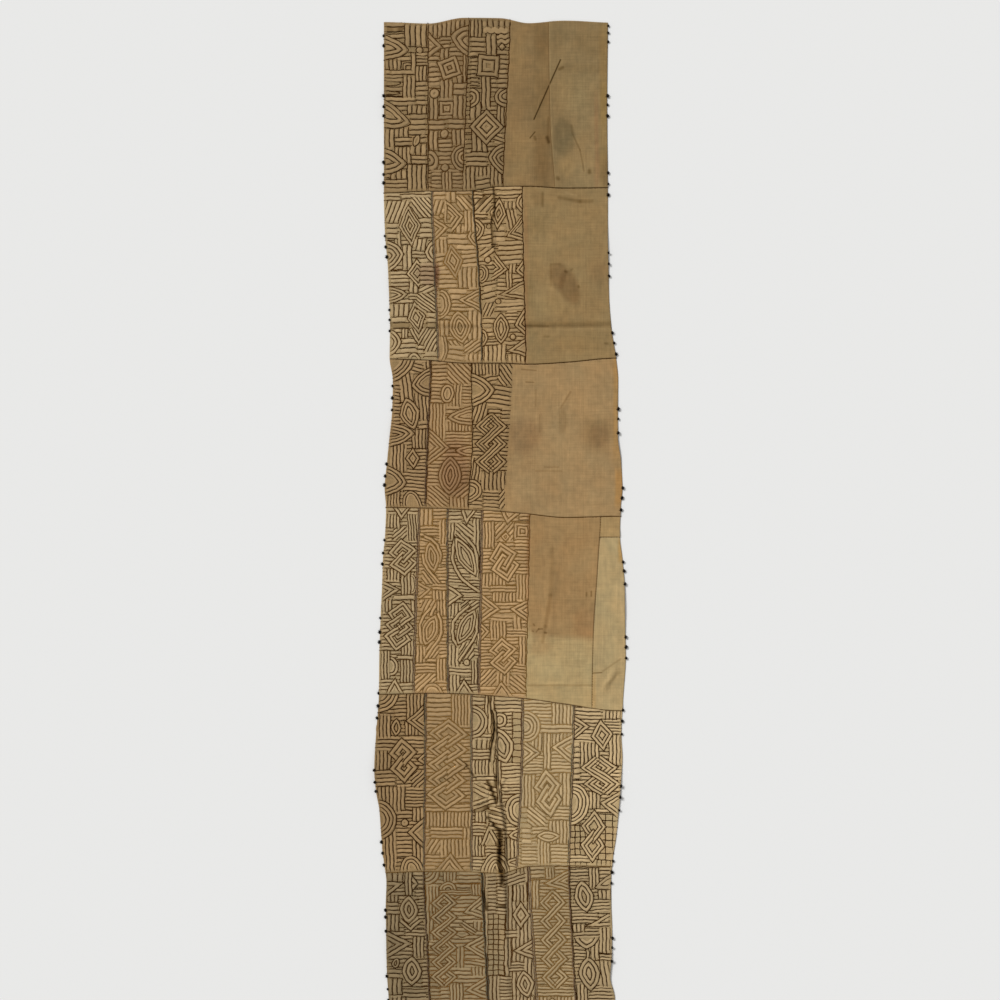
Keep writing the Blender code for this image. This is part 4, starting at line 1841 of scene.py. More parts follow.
PANEL_4_CELLS = (
    Cell(-116, ClothHue.GREYED, ThreadHue.UMBER, 3.6, """
        link 18.5 39.5 15 13.2 -6 2 12 3 3.2, link 17.3 103 14.7 13.6 9 3 11.5 3 3.2
        horn 9 -5 27 -5 17.6 8 2 3, horn -1 68.5 -1 89 16 77.5 3 3.1
        dome 28.5 62.5 28.5 82 32.8 72.5 2 2.2, dome 6 144.5 6 164 14.5 154 2 3
        horn 1.5 182 20 182 11.2 165.6 2 3.1, bars 3 2 16 16 3.5, bars 9 14 22.5 28 3.4 48
        bars 22.5 2.5 34 28.5 2.9 -4, rows 2 16 14 33 3.7, rows 24 28.5 36 34 3, bars 3 57 16 68.5 3.3
        bars 17 60 30 83 3.2, rows 9 83 33 88 3.6, bars -2 87 8 100 3.2, bars 27 87 34 99 3.2
        bars 17 128 33 143.5 3.1, rows 13 143.5 29 147.5 3.6, bars -3 139 6 167 3.2
        bars 16.5 147.5 29 170.5 3.1, rows -8 -8 60 192
    """),
    Cell(-81, ClothHue.RUDDY, ThreadHue.OCHRE, 3.5, """
        eye 13 44.8 7.8 15.5 -9 3 3, eye 11.3 118 8.4 16.5 18 3 3
        strap 2 3.3 4.5 23.5 12 27.3 18.8 33 21.8 42 20.5 51
        strap 2 3.3 3.6 42 5.2 51 9.8 59 14.5 64.5 20.5 71
        strap 2 3.3 18.5 100 22.4 110 22.6 119 19.8 127.5 13.5 136.5 6 147
        strap 2 3.3 12 95.5 4.5 104 0.9 113 0.8 122 2.6 131, horn 0 69.5 0 88 13.5 77 2 3.2
        dome 3 183 25 183 13 171 2 3.3, bars 1 -4 13.5 14 3.6, rows 13.5 -4 29 7 3.5
        bars 20 7 29 31 3.1 2, rows 0 14 20 24 3.6, rows 2 24 20 31 3 14, rows 22 31 30 53 3.2
        bars 3 58 17 72 3.3 -38, rows 13 71.5 30 78 3.4, rows 17 58 30 71.5 3.3, bars 13 78 30 88 3.3
        bars 2 88 17 104 3.4 27, bars 18 88 30 104 3.4, rows -2 88 9 103 3.6 4, bars 7 131 20 146 3.4 38
        rows 14 135 30 146 3.3, bars -3 134 7 151 3.3, rows -5 151 17 161 3.3, bars 17.5 146 30 168 3.3
        bars -6 161 17 183 3.4 47, rows -8 -8 60 192
    """),
    Cell(-52, ClothHue.GREYED, ThreadHue.UMBER, 3.4, """
        eye 17.8 44.8 8.6 22 -27 4 2.9, eye 18.2 115.3 8.4 19.6 26 4 2.8
        strap 2 3.4 12.5 20.5 20 27 26 35 29 45 29.5 56 28.9 66
        strap 2 3.4 8 25.5 4.9 35 4.5 47 7.5 57 14 66.5 22 73.5 30.5 79.5
        strap 2 3.4 28.2 99 29 110 28.6 119.5 25 128.5 18 138 11 149
        strap 2 3.4 21.5 93.5 11 102 5.5 110 4.2 119.5 6 128.5 9.5 134, horn 11.5 -6 31 -6 18.3 13 2 3
        horn 0 72.5 0 95 15.8 83.5 2 3.4, horn 6 183 26 183 16.2 166.5 2 3, ring 19 150.5 3.2 3.4 0 1
        rows 1 -4 14 11 3.6 -4, rows 26 0 35 6 3, bars 8 11 25 40 3.3 -50, bars 25 6 35 60 3.2
        bars 0 11 12 27 3.2 2, rows 0 59 22 73 3.2 3, rows 11 66 35 83 3.3 3, rows 15 83 35 88 3.2
        bars 13 88 31 98 3.3 55, bars 0 92 13 105 3.3 3, bars 29 88 35 133 3.3
        bars 11 130 26 149 3.3 33, rows 20 134 35 146 3.3 3, bars 0 133 11 154 3.2
        bars 23.5 146 35 172.5 3.2, rows -1 154 23.5 163 3 3, bars -2 163 12 184 3.3
        rows 21 172.5 35 184 3.2, rows -8 -8 60 192
    """),
    Cell(-18, ClothHue.RUDDY, ThreadHue.OCHRE, 3.5, """
        link 21 44.5 15 15.5 -12 2 11 3 3.4, link 20.8 138 14.7 13 -4 2 12 3 3.3
        gem 40.4 19.5 12 12 45 3 3.1, gem 23.7 24.5 5 5 0 2 2.6, horn 17 -4 40 0 25.3 12.5 2 3.4
        horn 0 82 0 110 19 97 4 3.3, horn 48 86 48 111 27 97 3 3.3, horn -1 110 -1 129 8 119 3 2.8
        horn 10 183 30 183 19.5 169 2 3, rows 0 -6 21 9.5 4, rows 37 -6 50 8 3.3, bars 0 9.5 12.5 36 3.1
        bars 11 11 34 28 3.4 42, rows 32 28 50 62 3.4, rows 0 36 10 61 3.6, bars 0 61 24 73.5 3.4
        rows 8 73.5 34 80 3.4, bars 34 62 50 88 3.5, bars 10 80 34 90 3.5, rows 8 103 31 109 3.4 3
        bars 31 103 39 117 3.3, bars 8 109 24 127 3.3, rows 24 117 50 124.5 3.3 3
        bars 37 124.5 50 152 3.4, rows -2 128 10 157 3.4, rows 30 152 50 163 3.4 5
        bars -2 157 14 173 3.4 45, bars 28 163 50 180 3.4 -50, bars 14 160 28 172 3.3, rows -8 -8 60 192
    """),
)
PANEL_5_CELLS = (
    Cell(-124, ClothHue.TAWNY, ThreadHue.DARK, 3.7, """
        eye 20.2 32.4 5 9 5 2 3, link 26.8 57.5 14.5 15.3 -4 2 15.5 3 4.2, ring 2.5 -3 20.5 20.5 0 4 3.7
        horn 47.5 10.5 47.5 39 30 26 3 3.3, horn 48 58 48 70 41 64.5 2 3
        dome 1 105 4 144 20.5 123.5 4 3.6, ring 29.2 127.8 3.7 3.7 0 1
        horn 47.5 122.5 47.5 153 31 137.5 2 4, dome 24 182 50 182 35 160.5 3 3.4, rows 18 2.5 30.5 21.5
        bars 30.5 -6 48 26 3.6, bars 0 20 14.5 42.5 3.6, bars 29 26 42 40 3.5, rows 0 41.5 48 56 3.6 1
        bars 0 56 15 75 3.5, rows -2 75 20 91 4, bars 36 76 48 92 3.4 45, bars 2 91 25 116
        bars 25 91 29 115 3, rows 29 92 48 112 3.6, rows 18 115.5 36.5 123.5 3.6
        bars 36.5 112 48 126 3.4, bars 0 134 20 182 3.7 -3, rows 20 133 36.5 162 4
        bars 36.5 145 48 170 3.5, rows -8 -8 60 182
    """),
    Cell(-74, ClothHue.WARM, ThreadHue.OCHRE, 3.7, """
        link 22.3 39 20.5 15.5 2 5 15.3 3 3.7, horn 5 180 42 180 24.3 157.5 4 3.6
        rows 0 -6 25.5 21.5 4.4, bars 25.5 -6 48 30 3.2, rows -4 109 50 116.5 3.6
        bars 0 116.5 46 132 3.6, rows 4 132 37 143.5, bars 37 132 48 143.5 3.5
        bars 1 143.5 14 158 3.6 30, bars 14 143.5 48 161.5 3.6, rows -8 -8 60 182
    """),
    Cell(-28, ClothHue.GREYED, ThreadHue.UMBER, 3.6, """
        strap 2 2.8 21.6 16 22.6 33 21 46 20.2 54 19 66, bars 22.2 65 29 107 3.4
        rows 17 112 34 134 3.6 18, dome 0 10 0 43.5 16 27 3 3.5, ring 28 25 7 7.5 0 2 3.2
        eye 29.5 50.5 12.5 18.5 -17 3 3.7, dome 49.5 98.5 49.5 132 33 115 3
        horn 8 150 28 150 17.5 128 2 3.3, leaf 50 132.5 50 147 36 140 2 3
        dome 8 182 38 182 24 158 5 3.4, leaf 50 161.5 50 173 32 168 2 3, rows 0 -6 13 10
        bars 13 -6 22 37 3.4, rows 22 -6 50 17.5 3.7, grid 40.4 17.5 49.2 68 6, bars 0 44 20 54 5
        rows 0 54 20 64.5 3.7, bars 0 64.5 20 79, rows 0 79 20 88 4 -5, rows 26 68 50 86 3.7 -3
        rows 2 88 22 102 4 25, rows 2 102 22 116 4 -20, rows 26 86 50 99, bars 3 116 17 127.5 4
        rows 0 127.5 13 141, bars 0 141 13 161, rows 13 141 28 161, rows 0 161 11 182 3.7
        bars 31 143 46 163, rows -8 -8 60 182
    """),
    Cell(21, ClothHue.GREYED, ThreadHue.STRAW, 3.6, """
        link 26.5 91 14 17.5 -6 2 14.5 3 3.9, dome 3 15.5 3 47 19.5 32 4 3.3, horn 3 45 3 71 20 58 3 3.3
        horn 51 39.5 50 68 30 52 3 3.4, eye 27.3 141.3 5.6 12.3 90 2 3, bars 22.5 38 29.5 74 3.3
        rows 0 -2 31 29.5, bars 31 -2 53 29.5, rows 17 29.5 53 38, bars 10 38 53 56, rows 0 66 22.5 79
        rows 29.5 56 53 77.5, bars 0 79 14 112 3.5, bars 38 77.5 53 111 3.5, rows 32 111 53 125 3.3
        bars 6 110 25 131 3.6 -50, rows 0 112 11 149 5, bars 28 125 53 149 3.5, rows 0 149 16 182 3.4 3
        bars 16 144 29 182 3.5, rows 29 149 53 182, rows -8 -8 60 182
    """),
    Cell(72, ClothHue.GREYED, ThreadHue.DARK, 3.6, """
        gem 30 40.3 11.3 16.2 -6 3 3.3, plait 28.6 64.4 97 11 2 4 3.2 6
        link 21.8 131.5 12.6 17 3 2 19 3 3.2, horn 2 21 2 43.5 18.3 31.5 3 3.2
        dome 0 88 -1 130 17.5 108 4 3.5, horn 49 95 47 124 27.7 108 3 3.4, rows 0 2 30 23.5 3.6 3
        bars 30 8 52 24 4, rows 33 24 52 39 3.3, rows 0 42.5 24 47 3.5 4, rows -2 47 8.5 84 5
        bars 8.5 47 27 72, bars 37 39 52 70 3.5, bars 17 96 28 113 3.3, grid -2 130 13 160 5.6
        grid 26 119 48 165 6.5, rows -2 160 17 167 4, bars -2 167 20 182 5, bars 20 165 48 182 5
        rows -8 -8 60 182
    """),
)
PANEL_6_CELLS = (
    Cell(-114, ClothHue.GREYED, ThreadHue.DARK, 4, """
        eye 23 41.5 9.5 14 0 3 3.6, eye 26 103 10.3 14.7 0 3 3.8, ring 9.8 94.8 3.8 5 15 2 2.6
        strap 3 3.6 15.8 50.5 24.5 58.5 33.5 50.5, horn 0 13.5 0 29 19 14 3, horn 26 7.5 26 23 33 16 2
        horn 0 62.5 0 90.5 27 75.5 4, leaf 42 140 42 166 21 152 3 3.6, bars 1 0 17 13.5 4.6
        bars 19 4 26 27 3.5, rows 29 21 38 28 3.3, rows 32 28 38 60 3.3, bars 1 27 12 34
        rows 0 34 13 46 3.9, bars 1 46 13 63 4.2, rows 18.5 58 39 68 3.6, bars 27 69 38 89 4.2
        rows 0 101 15 110 3.8, rows 36 91 43 118 3.7, bars 2 110 16 126 4.2, rows 16 121 41 129 3.6
        bars 2 129 20 150 4.2, rows 20 129 44 141 3.6, rows 0 150 20 158 3.9, bars -2 158 44 182
        rows -8 -8 70 182
    """),
    Cell(-74, ClothHue.GREYED, ThreadHue.BROWN, 4, """
        ring 0 3 14 14 0 4 3.6, dome 13.5 21.5 30.5 21.5 22 13.5 3 3
        horn 55 27.7 56.5 51 36.5 44.6 3 3.5, horn 57.5 66.5 59 91 37 78.5 4 3.3
        horn 60.5 108 62.5 132 38.3 123 4 3.4, plait 18 27.5 116.5 -9 6 3 3, eye 28 149 10 14.5 0 3 3.5
        bars 17 3.5 30 12.5 3.4, rows 32 3.5 53 15 3.4, bars 46 16 58 27 3.2, rows 14 22 44 27 2.8
        horn 22 27 36 27 29 31.6 2 2.6, bars 0 18 13 44 3.6, bars 0 44 7.4 72 3.5
        strap 3 2.8 36 55 49.5 64.5, bars 47.5 53.5 55 63 3.1, eye 36 66 3 7.6 90 2 2.4
        bars 30.5 78 38 99 3.3, rows 38 92 60 99 3.4 8, bars 46 99 60 107 3.2, bars 24 116 37 134 3.5
        rows 0 74 8 86 3.6, rows 0 120 14 152 3.6, bars 40 135 64 182 3.6, rows 10 164 45 182 3.6
        rows -8 -8 70 182
    """),
    Cell(-11, ClothHue.GREYED, ThreadHue.UMBER, 4, """
        gem 32 47 9 14 0 3 3.6, eye 36.4 116 9 13.6 -10 3 3.4, horn 46 69.5 46 92 23.5 83 3 3.6
        leaf 0 132 0 158 20 145 3 3.5, rows 14 5 36 17 4 -18, bars 24 15 38 33, grid -1 46 14.7 107 5.2
        rows -2 5 8 46 3.8, rows 8 5 16 46 3.3, rows 14.7 62 28 69.5 3.3, bars 14.7 70 22 98
        rows 19 94 35 103 3.4, rows 10.5 108 22 132 3.3, bars 20 128 45 144 3.5, rows 20 144 46 158 3.6
        bars 0 158 48 182 3.5, bars -8 -8 70 182
    """),
    Cell(31, ClothHue.GREYED, ThreadHue.OCHRE, 3.3, """
        horn 37 1.8 37.5 23.6 12.5 15.7 4 3.1, plait 22.8 25 119 -9.6 5 3 3.1 3
        eye 21 144 10 14 0 3 3.4, rows 0 2 13.6 10, bars 14.5 0 23.5 10 3.4, bars -2 12 8 40 3
        rows -2 118 42 128 3.4, bars -2 128 44 160 3.5, rows -8 -8 70 182
    """),
    Cell(71, ClothHue.GREYED, ThreadHue.DARK, 3.6, """
        leaf 40 6 40 21 24 19.5 2 4, eye 13 28.3 10 16 -12 3 3.6, horn 38 45 38.6 58 13.8 58.8 3 3.6
        leaf 3.5 70.5 28 69.5 16 80.8 2 3.8, strap 2 3.2 15.6 79.5 17.6 84 16.4 89.5
        eye 18.3 105.3 11 17.2 -6 3 3.8, gem 25 150 11 13 0 3 3.5, rows -1 1 17 11, bars 20 72 28 91 3.6
        bars 18 0 28 20, bars 27 21 39 31, rows 21 32 39 44 3.6 -5, rows 0 45 27 55 3.8
        bars 2 56 14 64 3.5, rows 3 61 28 70 3.6 -3, bars 28 60 39 85 3.8, rows 3 82 16 92
        rows 27 86 40 92, bars 28 92 41 118 3.8 -9, rows 19 120 42 127 3.8, bars 6 116 17 135
        bars 0 135 17 160, rows 17 127 44 141 3.7, rows 0 160 50 182 3.7, rows -8 -8 70 182
    """),
)

ROWS = (
    Row(
        "panel_1", "top", "1_to_2", 0, 170, (0.875, 0.74), (142, 116, 78),
        (
            Divider(-72, -72, -72, Couched.DARK),
            Divider(-31, -34, -37, Couched.DARK),
            Divider(10, 6.5, 3, Couched.DARK),
        ),
        PANEL_1_CELLS,
    ),
    Row(
        "panel_2", "1_to_2", "2_to_3", 170, 340, (1.00, 0.94), (152, 126, 85),
        (
            Divider(-68, -65, -62, Couched.GREY),
            Divider(-27, -21, -18, Couched.SHADE),
            Divider(22.5, 24, 26, Couched.DARK),
        ),
        PANEL_2_CELLS,
    ),
    Row(
        "panel_3", "2_to_3", "3_to_4", 340, 492, (0.92, 0.92), (166, 136, 94),
        (
            Divider(-69, -72, -74.3, Couched.PAIR),
            Divider(-29, -27.5, -32, Couched.DARK),
            Divider(12.7, 9, 5, Couched.BARE),
        ),
        PANEL_3_CELLS,
    ),
    Row(
        "panel_4", "3_to_4", "4_to_5", 492, 675, (0.97, 1.02), (181, 156, 110),
        (
            Divider(-81, -84, -86.4, Couched.FADED),
            Divider(-52.5, -52.3, -52, Couched.GREY),
            Divider(-18, -19.5, -21, Couched.FADED),
            Divider(29.6, 28, 26, Couched.LIGHT),
        ),
        PANEL_4_CELLS,
    ),
    Row(
        "panel_5", "4_to_5", "5_to_6", 675, 848, (0.88, 1.10), (150, 125, 88),
        (
            Divider(-74.3, -75, -76, Couched.GREY),
            Divider(-28.5, -28.5, -28.5, Couched.GREY),
            Divider(22.7, 21.3, 17, Couched.FADED),
            Divider(74, 72, 69, Couched.GREY),
        ),
        PANEL_5_CELLS,
    ),
    Row(
        "panel_6", "5_to_6", "end", 848, 1024, (0.77, 0.98), (150, 125, 88),
        (
            Divider(-76, -72, -69, Couched.PAIR),
            Divider(-18, -14, -11, Couched.SLATE),
            Divider(29, 34, 38.6, Couched.FADED),
            Divider(69, 73, 77, Couched.PAIR),
        ),
        PANEL_6_CELLS,
    ),
)
# Dark threads along the row seams: real stitches, made dark enough to stand also for the shadow in the
# crook of each lap as painted shadow
SEAM_THREAD_AND_SHADOW_HUES = {
    "1_to_2": ThreadHue.DARK,
    "2_to_3": ThreadHue.DARK,
    "3_to_4": ThreadHue.RUST,
    "4_to_5": ThreadHue.RUST,
    "5_to_6": ThreadHue.OCHRE,
}
PLAIN_SIDES = {
    "panel_1_side": (145, 122, 84),
    "panel_4_side": (183, 158, 113),
    "panel_4_corner": (172, 142, 96),
}


class Stain(NamedTuple):
    """A stain: where, half sizes in metres, turn in degrees, shade, soft edge, form and piece.

    At a power of 2 it is oval, and at a higher one it comes near a box. One with no piece is on all.
    """

    across: float
    down: float
    half_across: float
    half_down: float
    turn: float
    shade: Colour
    soft: float = 0.15
    power: float = 2.0
    piece: str = ""


class Mark(NamedTuple):
    """A soft line, in squares from the middle line and the top end, such as the painted shade of a wrinkle,
    a painted highlight beside it, a slit or a spot.
    """

    x: float
    y: float
    to_x: float
    to_y: float
    half_wide: float
    shade: float

    def line(self) -> tuple[Floats, Floats, float]:
        """Its start, its direction and its length in metres, as ways across and down.

        Returns:
            The start, a direction of length 1, and the length.
        """
        run = np.array([self.to_x - self.x, self.to_y - self.y]) * CHART_SQUARE
        long = float(np.hypot(*run))
        return np.array([self.x, self.y]) * CHART_SQUARE, run / long, long


STAINS = (
    Stain(0.119, 0.240, 0.022, 0.240, 0, (0.95, 0.93, 0.89), 0.8, 4.0, "panel_1"),
    Stain(0.118, 0.055, 0.024, 0.055, 0, (0.88, 0.86, 0.84), 0.8, 2.0, "panel_1"),
    Stain(0.045, 0.090, 0.030, 0.060, 0, (1.07, 1.07, 1.05), 0.9, 2.0, "panel_1"),
    Stain(0.100, 0.205, 0.045, 0.055, 0, (0.92, 0.91, 0.90), 0.9, 2.0, "panel_1"),
    Stain(0.121, 0.395, 0.027, 0.085, 0, (0.88, 0.86, 0.84), 0.8, 2.0, "panel_1"),
    Stain(0.058, 0.375, 0.034, 0.080, 0, (1.10, 1.09, 1.06), 0.9, 2.0, "panel_1"),
    Stain(0.254, 0.065, 0.046, 0.036, 0, (0.89, 0.87, 0.84), 0.9),
    Stain(0.173, 0.042, 0.020, 0.020, 0, (0.91, 0.89, 0.87), 0.9),
    Stain(0.228, 0.136, 0.062, 0.012, 0, (0.92, 0.91, 0.89), 0.9),
    Stain(0.205, 0.200, 0.052, 0.050, 0, (1.11, 1.11, 1.09), 0.9, 2.0, "panel_1_side"),
    Stain(0.243, 0.390, 0.034, 0.068, 0, (1.11, 1.10, 1.09), 0.9, 2.0, "panel_1_side"),
    Stain(0.185, 0.410, 0.026, 0.028, 0, (1.12, 1.10, 1.06), 0.9, 2.0, "panel_1_side"),
    Stain(0.295, 0.435, 0.012, 0.045, 0, (0.82, 0.79, 0.78), 0.8),
    Stain(0.290, 0.236, 0.008, 0.060, 0, (1.05, 1.03, 0.90), 0.7),
    Stain(0.178, 0.328, 0.030, 0.053, 0, (0.77, 0.78, 0.78), 0.3),
    Stain(0.271, 0.348, 0.006, 0.133, 0, (1.03, 0.93, 0.92), 0.4, 8.0, "panel_1_side"),
    Stain(0.292, 0.240, 0.013, 0.260, 0, (1.00, 0.96, 0.86), 0.4, 8.0, "panel_1_side"),
    Stain(0.072, 0.727, 0.006, 0.217, 0, (1.03, 0.93, 0.91), 0.5, 8.0, "panel_2"),
    Stain(0.107, 0.500, 0.016, 0.022, 0, (0.85, 0.83, 0.81), 0.8),
    Stain(0.102, 0.571, 0.030, 0.030, 0, (0.91, 0.91, 0.89), 0.9),
    Stain(0.163, 0.716, 0.023, 0.037, 0, (0.80, 0.75, 0.73), 0.35),
    Stain(0.194, 0.747, 0.027, 0.049, -15, (0.77, 0.71, 0.68), 0.35),
    Stain(0.277, 0.706, 0.028, 0.034, 0, (0.93, 0.88, 0.86), 0.9),
    Stain(0.083, 0.766, 0.012, 0.040, 0, (0.90, 0.90, 0.88), 0.9, 2.0, "panel_2"),
    Stain(0.240, 0.905, 0.070, 0.030, 0, (0.95, 0.93, 0.90), 0.9),
    Stain(0.150, 0.800, 0.050, 0.020, 0, (1.06, 1.06, 1.04), 0.9),
    Stain(0.068, 1.163, 0.044, 0.052, 0, (0.82, 0.79, 0.79), 0.5),
    Stain(0.272, 1.158, 0.043, 0.050, 0, (0.82, 0.80, 0.77), 0.7),
    Stain(0.279, 1.166, 0.024, 0.032, 0, (0.91, 0.88, 0.88), 0.5),
    Stain(0.176, 1.122, 0.013, 0.036, 0, (0.87, 0.85, 0.82), 0.3),
    Stain(0.326, 1.060, 0.009, 0.160, 0, (1.06, 0.98, 0.82), 0.5, 8.0, "panel_3"),
    Stain(0.333, 1.310, 0.011, 0.052, 0, (1.08, 0.93, 0.72), 0.5, 8.0, "panel_3"),
    Stain(-0.126, 1.260, 0.042, 0.084, 0, (0.78, 0.70, 0.70), 0.6),
    Stain(-0.176, 0.717, 0.006, 0.040, 0, (0.60, 0.50, 0.50), 0.5),
    Stain(-0.200, 0.710, 0.030, 0.031, 0, (0.80, 0.74, 0.77), 0.5),
    Stain(0.184, 1.532, 0.108, 0.197, 0, (0.80, 0.69, 0.63), 0.10, 10.0, "panel_4"),
    # Even shades over whole cells, set from the mean tone of each cell
    Stain(-0.250, 1.165, 0.060, 0.210, 0, (0.97, 0.94, 0.94), 0.4, 8.0, "panel_3"),
    Stain(-0.024, 1.165, 0.055, 0.210, 0, (0.98, 0.95, 0.92), 0.4, 8.0, "panel_3"),
    Stain(-0.275, 2.130, 0.070, 0.250, 0, (0.95, 0.92, 0.90), 0.3, 8.0, "panel_5"),
    Stain(-0.010, 2.130, 0.062, 0.250, 0, (1.06, 1.05, 1.03), 0.3, 8.0, "panel_5"),
    Stain(0.030, 2.640, 0.060, 0.240, 0, (1.08, 1.08, 1.10), 0.4, 8.0, "panel_6"),
    # Darker and brighter places of the fourth row
    Stain(0.245, 1.690, 0.034, 0.044, 0, (0.96, 0.92, 0.91), 0.5, 4.0, "panel_4"),
    Stain(0.110, 1.752, 0.030, 0.026, 0, (0.94, 0.86, 0.82), 0.8, 2.0, "panel_4"),
    Stain(0.337, 1.485, 0.006, 0.032, 0, (1.05, 0.90, 0.70), 0.5, 8.0, "panel_4_side"),
    Stain(0.262, 1.879, 0.006, 0.053, 0, (1.03, 0.95, 0.85), 0.6, 4.0, "panel_4_side"),
)

# Painted shade and highlights of wrinkles and creases, and the slit, spots, smudges and a light hair of the
# plain parts
PLAIN_MARKS = (
    Mark(60.4, 40.0, 34.0, 99.3, 1.25, 0.16),
    Mark(59.5, 49.2, 62.6, 47.6, 2.8, 0.56),
    Mark(35.0, 112.0, 30.0, 118.0, 1.1, 0.34),
    Mark(39.4, 78.0, 36.4, 96.0, 0.9, 1.18),
    Mark(34.6, 117.0, 35.3, 119.5, 2.4, 0.66),
    Mark(48.5, 98.0, 48.0, 123.0, 2.6, 0.78),
    Mark(47.0, 117.5, 48.8, 122.0, 3.0, 0.52),
    Mark(71.5, 106.0, 72.6, 113.0, 2.6, 0.78),
    Mark(73.0, 115.0, 80.0, 130.0, 1.5, 0.74),
    Mark(80.0, 130.0, 84.0, 151.0, 1.5, 0.76),
    Mark(89.4, 150.8, 89.4, 152.4, 3.4, 0.52),
    Mark(57.6, 158.0, 58.2, 159.0, 3.2, 0.60),
    # Painted shade of the wrinkles under the seam of the second row
    Mark(59.0, 177.5, 80.0, 181.5, 3.2, 0.72),
    Mark(80.0, 181.5, 92.0, 181.0, 3.2, 0.74),
    Mark(66.0, 173.0, 76.0, 175.5, 2.4, 1.14),
    Mark(42.5, 173.0, 42.5, 186.0, 2.4, 0.74),
    Mark(50.8, 245.0, 50.8, 266.0, 2.0, 0.84),
    Mark(51.0, 244.2, 60.0, 244.2, 1.8, 0.82),
    Mark(65.4, 251.4, 66.6, 252.0, 2.4, 0.62),
    Mark(71.2, 249.8, 72.4, 249.2, 2.0, 0.76),
    Mark(78.5, 266.2, 78.7, 267.0, 2.2, 0.66),
    # Painted shade above the crease of the second row, and painted highlight below it
    Mark(24.0, 304.0, 113.0, 304.0, 5.4, 0.75),
    Mark(25.0, 305.8, 48.0, 306.2, 2.0, 0.70),
    Mark(25.0, 309.2, 111.0, 309.2, 2.0, 1.07),
    Mark(44.5, 316.5, 48.5, 316.5, 2.6, 0.84),
    Mark(105.0, 323.4, 107.5, 323.6, 2.0, 0.72),
    Mark(21.7, 349.3, 36.0, 350.4, 1.3, 0.68),
    Mark(26.0, 362.0, 33.6, 362.4, 1.2, 0.68),
    # Painted shade of the creases of the third row
    Mark(35.8, 370.0, 35.8, 386.0, 1.3, 0.84),
    Mark(39.6, 395.0, 39.6, 412.0, 1.3, 0.84),
    Mark(70.5, 372.0, 60.7, 387.8, 2.0, 0.78),
    Mark(44.5, 447.0, 58.5, 447.0, 1.4, 0.83),
    Mark(35.8, 451.0, 61.8, 451.0, 1.4, 0.83),
    # Painted shade along the long crease of the fourth row
    Mark(52.5, 529.0, 50.5, 575.0, 4.0, 0.86),
    Mark(50.5, 575.0, 45.5, 606.0, 3.6, 0.76),
    Mark(45.5, 606.0, 42.5, 622.0, 3.0, 0.78),
    Mark(33.6, 604.2, 34.3, 605.4, 1.6, 0.62),
    Mark(32.4, 611.0, 33.2, 611.4, 1.5, 0.62),
    Mark(36.4, 611.8, 38.6, 609.0, 1.4, 0.64),
    Mark(38.6, 609.0, 42.4, 608.9, 1.5, 0.58),
    Mark(45.0, 612.6, 46.2, 612.8, 1.8, 0.56),
    Mark(86.6, 573.0, 86.6, 575.6, 1.7, 0.66),
    Mark(91.3, 571.5, 91.3, 576.0, 1.5, 0.58),
    # Painted shade and highlight of the crease across the foot of the fourth row
    Mark(28.0, 665.2, 92.0, 665.2, 1.9, 0.80),
    Mark(28.0, 667.9, 92.0, 667.9, 1.6, 1.06),
    Mark(93.0, 653.1, 101.7, 652.5, 1.0, 0.48),
    # Painted shade of the creases in the lower right corner of the fourth row
    Mark(103.0, 651.0, 120.5, 639.0, 1.8, 0.80),
    Mark(105.7, 665.9, 119.0, 652.5, 2.6, 0.86),
)

